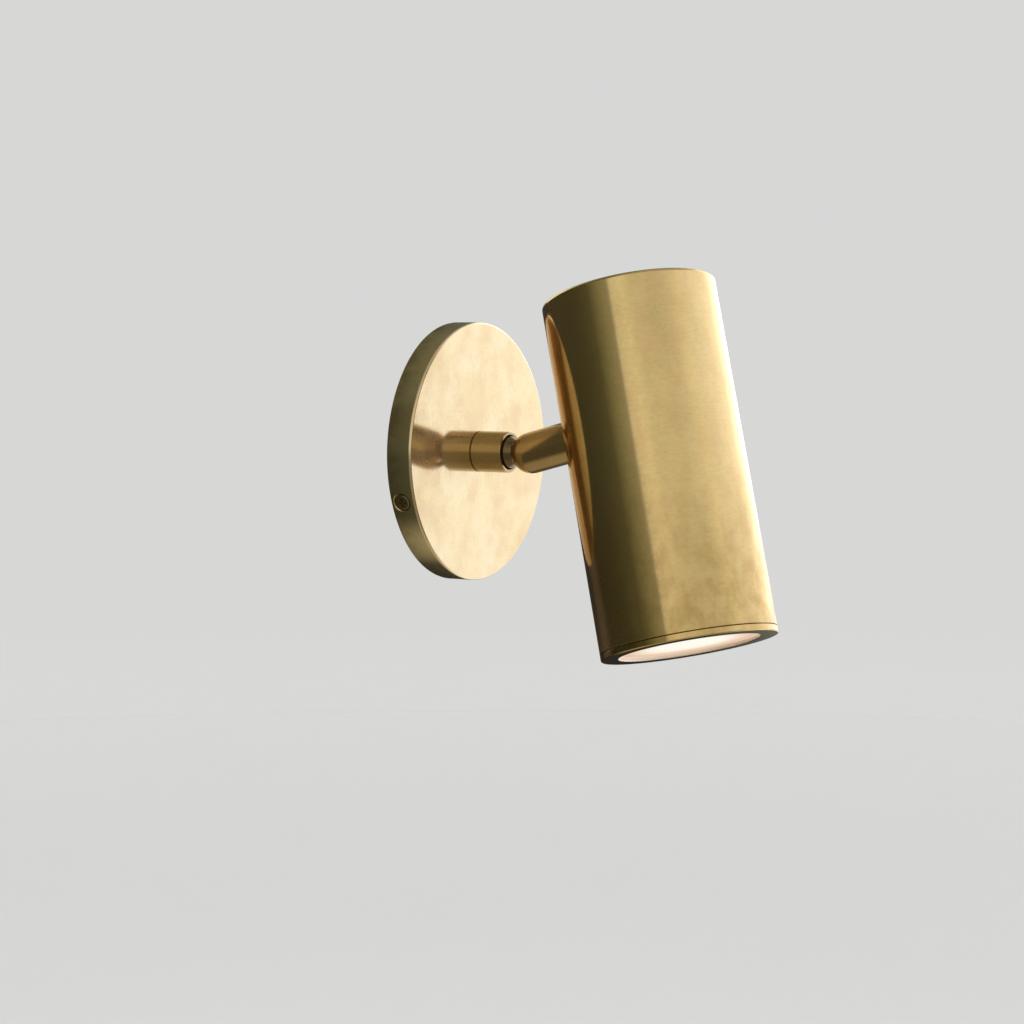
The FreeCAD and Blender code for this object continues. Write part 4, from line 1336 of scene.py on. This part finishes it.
@dataclass
class Studio:
    """A pale floor, a soft light from all round and the camera.

    The light's strength is listed by azimuth in degrees, counted from +X towards +Y, once for what
    stands above the lamp's level and once for what lies below it.
    """

    azimuth: float = -59.31
    elevation: float = 4.18
    plate_distance: float = 1.125
    plate_pixel: Spot = (480.57, 451.36)
    focal_pixels: float = 2414.0
    image_pixels: float = 1024.0
    sensor: float = 36.0
    floor_level: float = -0.8
    floor_radius: float = 9.0
    floor_thickness: float = 0.02
    floor_fade: Spot = (0.6, 6.5)
    floor_columns: int = 96
    floor_colours: tuple[Colour, Colour] = ((0.8, 0.8, 0.79), (0.76, 0.76, 0.75))
    backdrop: Colour = (0.68, 0.68, 0.675)
    tint: Colour = (1.0, 0.99, 0.97)
    tints: tuple[tuple[float, float, Colour], ...] = (
        (-110.0, -75.0, (0.99, 0.99, 1.02)),
        (-75.0, 17.0, (0.97, 0.985, 1.13)),
        (17.0, 60.0, (0.96, 1.0, 0.88)),
        (60.0, 172.0, (0.96, 1.0, 0.72)),
    )
    above: Levels = (
        (-180.0, 0.74), (-166.0, 0.82), (-151.0, 0.7), (-119.0, 0.68), (-102.0, 0.76), (-84.0, 0.92),
        (-65.0, 0.98), (-43.0, 1.15), (-30.0, 1.35), (-14.0, 2.0), (0.0, 2.4), (11.0, 2.4),
        (18.0, 0.7), (25.0, 0.12), (36.0, 0.1), (60.0, 0.06), (115.0, 0.05), (133.0, 0.06),
        (149.0, 0.085), (165.0, 0.24), (176.5, 0.32), (178.0, 0.68),
    )
    below: Levels = (
        (-180.0, 0.2), (-149.0, 0.26), (-94.0, 0.24), (-70.0, 0.4), (-57.0, 0.65), (-45.0, 1.0),
        (-31.0, 1.3), (10.0, 1.2), (17.5, 0.95), (20.5, 0.36), (23.3, 0.03), (130.0, 0.042),
        (150.0, 0.065), (170.0, 0.1),
    )
    level_blend: Spot = (-0.1, 0.08)
    overhead: float = 0.42
    overhead_blend: Spot = (0.47, 0.68)
    wall_side: float = 0.135
    wall_blend: Spot = (-0.1, 0.25)
    underneath: Colour = (0.46, 0.42, 0.32)
    underneath_blend: Spot = (0.7, 0.93)
    soft_spread: float = 60.0
    soft_lamps: tuple[tuple[float, Way], ...] = ((1.3, (-0.2, 0.35, -1.0)), (1.0, (0.45, -1.0, -0.25)))
    back_panels: tuple[Panel, ...] = (
        Panel((0.3, 0.88, 0.37), 12.0, 24.0, 1.8),
        Panel((0.2, 0.88, -0.43), 10.0, 24.0, 0.12),
    )

    def build(self) -> None:
        """Set the world, the floor, the light and the camera."""
        self._world()
        self._floor()
        self._lamps()
        self._camera()
        bpy.context.scene.view_settings.view_transform = "Standard"

    def _light(self, strength: float, azimuth: float = 180.0) -> Colour:
        """The light's colour at a strength, tinted by the side of the room that it comes from."""
        found = [tint for first, last, tint in self.tints if first < azimuth <= last]
        return tinted(found[0] if found else self.tint, (strength, strength, strength))

    def _ring(self, graph: Graph, share: Signal, levels: Levels) -> Signal:
        """The light round the horizon, by how far round the direction is, from 0 to 1."""
        stops = [(azimuth / 360.0 + 0.5, self._light(strength, azimuth)) for azimuth, strength in levels]
        return graph.add("ShaderNodeValToRGB", {"stops": stops}, {0: share}, "Color")

    def _world(self) -> None:
        """Light from all round: bright on the room's side, dim on the wall's."""
        world = bpy.data.worlds.new("studio")
        bpy.context.scene.world = world
        graph = Graph(world)
        way = graph.add("ShaderNodeTexCoord", {}, {}, "Generated")
        east, north, up = graph.parts(way)
        turn = graph.add("ShaderNodeMath", {"operation": "ARCTAN2"}, {0: north, 1: east})
        share = turn / math.tau + 0.5
        low, high = (self._ring(graph, share, levels) for levels in (self.below, self.above))
        colour = graph.mix(up.between(*self.level_blend), low, high)
        room, wall = self._light(self.overhead), self._light(self.wall_side, 90.0)
        ceiling = graph.mix(north.between(*self.wall_blend), room, wall)
        colour = graph.mix(up.between(*self.overhead_blend), colour, ceiling)
        colour = graph.mix((-1 * up).between(*self.underneath_blend), colour, self.underneath)
        for panel in self.back_panels:
            inputs = {0: way, 1: panel.way}
            facing = graph.add("ShaderNodeVectorMath", {"operation": "DOT_PRODUCT"}, inputs, "Value")
            edge = [math.cos(math.radians(angle)) for angle in (panel.outer, panel.inner)]
            colour = graph.mix(facing.between(*edge), colour, self._light(panel.strength))
        lit, plain = (graph.add("ShaderNodeBackground", {}, {0: shown}) for shown in (colour, self.backdrop))
        seen = graph.add("ShaderNodeLightPath", {}, {}, "Is Camera Ray")
        both = graph.add("ShaderNodeMixShader", {}, {0: seen, 1: lit, 2: plain})
        graph.node("ShaderNodeOutputWorld", {}, {"Surface": both})

    def _floor(self) -> None:
        """A pale floor that fades out before its edge."""
        floor = Skin(shift(0.0, 0.0, self.floor_level))
        outline = [
            Corner(0.0, -self.floor_thickness),
            Corner(self.floor_radius, -self.floor_thickness),
            Corner(self.floor_radius, 0.0),
            Corner(0.0, 0.0),
        ]
        floor.turn(outline, self.floor_columns)
        thing = floor.thing("floor")
        graph = Graph(bpy.data.materials.new("pale_floor"))
        here = graph.place()
        cloud = graph.noise(here, 3.0, 4.0)
        colour = graph.mix(cloud * 0.4, *self.floor_colours)
        shown = 1 - graph.length(here).between(*self.floor_fade)
        dress(thing, graph.surface({"Base Color": colour, "Roughness": 0.9, "Alpha": shown}))
        thing.visible_glossy = False

    def _lamps(self) -> None:
        """Soft light from high up and from behind, which the metal doesn't mirror."""
        for number, (strength, way) in enumerate(self.soft_lamps):
            light = bpy.data.lights.new(f"soft_light_{number}", "SUN")
            light.energy = strength
            light.angle = math.radians(self.soft_spread)
            lamp = bpy.data.objects.new(light.name, light)
            lamp.rotation_euler = Vector(way).to_track_quat("-Z", "Y").to_euler()
            lamp.visible_glossy = False
            bpy.context.scene.collection.objects.link(lamp)

    def _camera(self) -> None:
        """The camera at the photograph's viewing angle."""
        turn, lift = math.radians(self.azimuth), math.radians(self.elevation)
        back = Vector((math.sin(turn) * math.cos(lift), -math.cos(turn) * math.cos(lift), math.sin(lift)))
        right = Vector((math.cos(turn), math.sin(turn), 0.0))
        up = back.cross(right)
        middle = self.image_pixels / 2
        scale = self.plate_distance / self.focal_pixels
        aside = (self.plate_pixel[0] - middle) * scale
        above = (middle - self.plate_pixel[1]) * scale
        target = Vector((0.0, -LAYOUT.plate_depth, 0.0))
        data = bpy.data.cameras.new("camera")
        data.sensor_width = self.sensor
        data.lens = self.focal_pixels * self.sensor / self.image_pixels
        camera = bpy.data.objects.new("camera", data)
        camera.location = target - right * aside - up * above + back * self.plate_distance
        camera.rotation_euler = Matrix((right, up, back)).transposed().to_euler()
        bpy.context.scene.collection.objects.link(camera)
        bpy.context.scene.camera = camera


def main() -> None:
    """Build every sub-assembly."""
    logging.basicConfig(level=logging.INFO, format="%(name)s: %(message)s")
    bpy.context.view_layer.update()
    builders: list[Any] = [Hardware(), Backplate(), Arm(), Swivel(), Stem(), Shade(), Opening(), Studio()]
    for builder in builders:
        log.info("building %s", type(builder).__name__)
        builder.build()


if __name__ == "__main__":
    main()
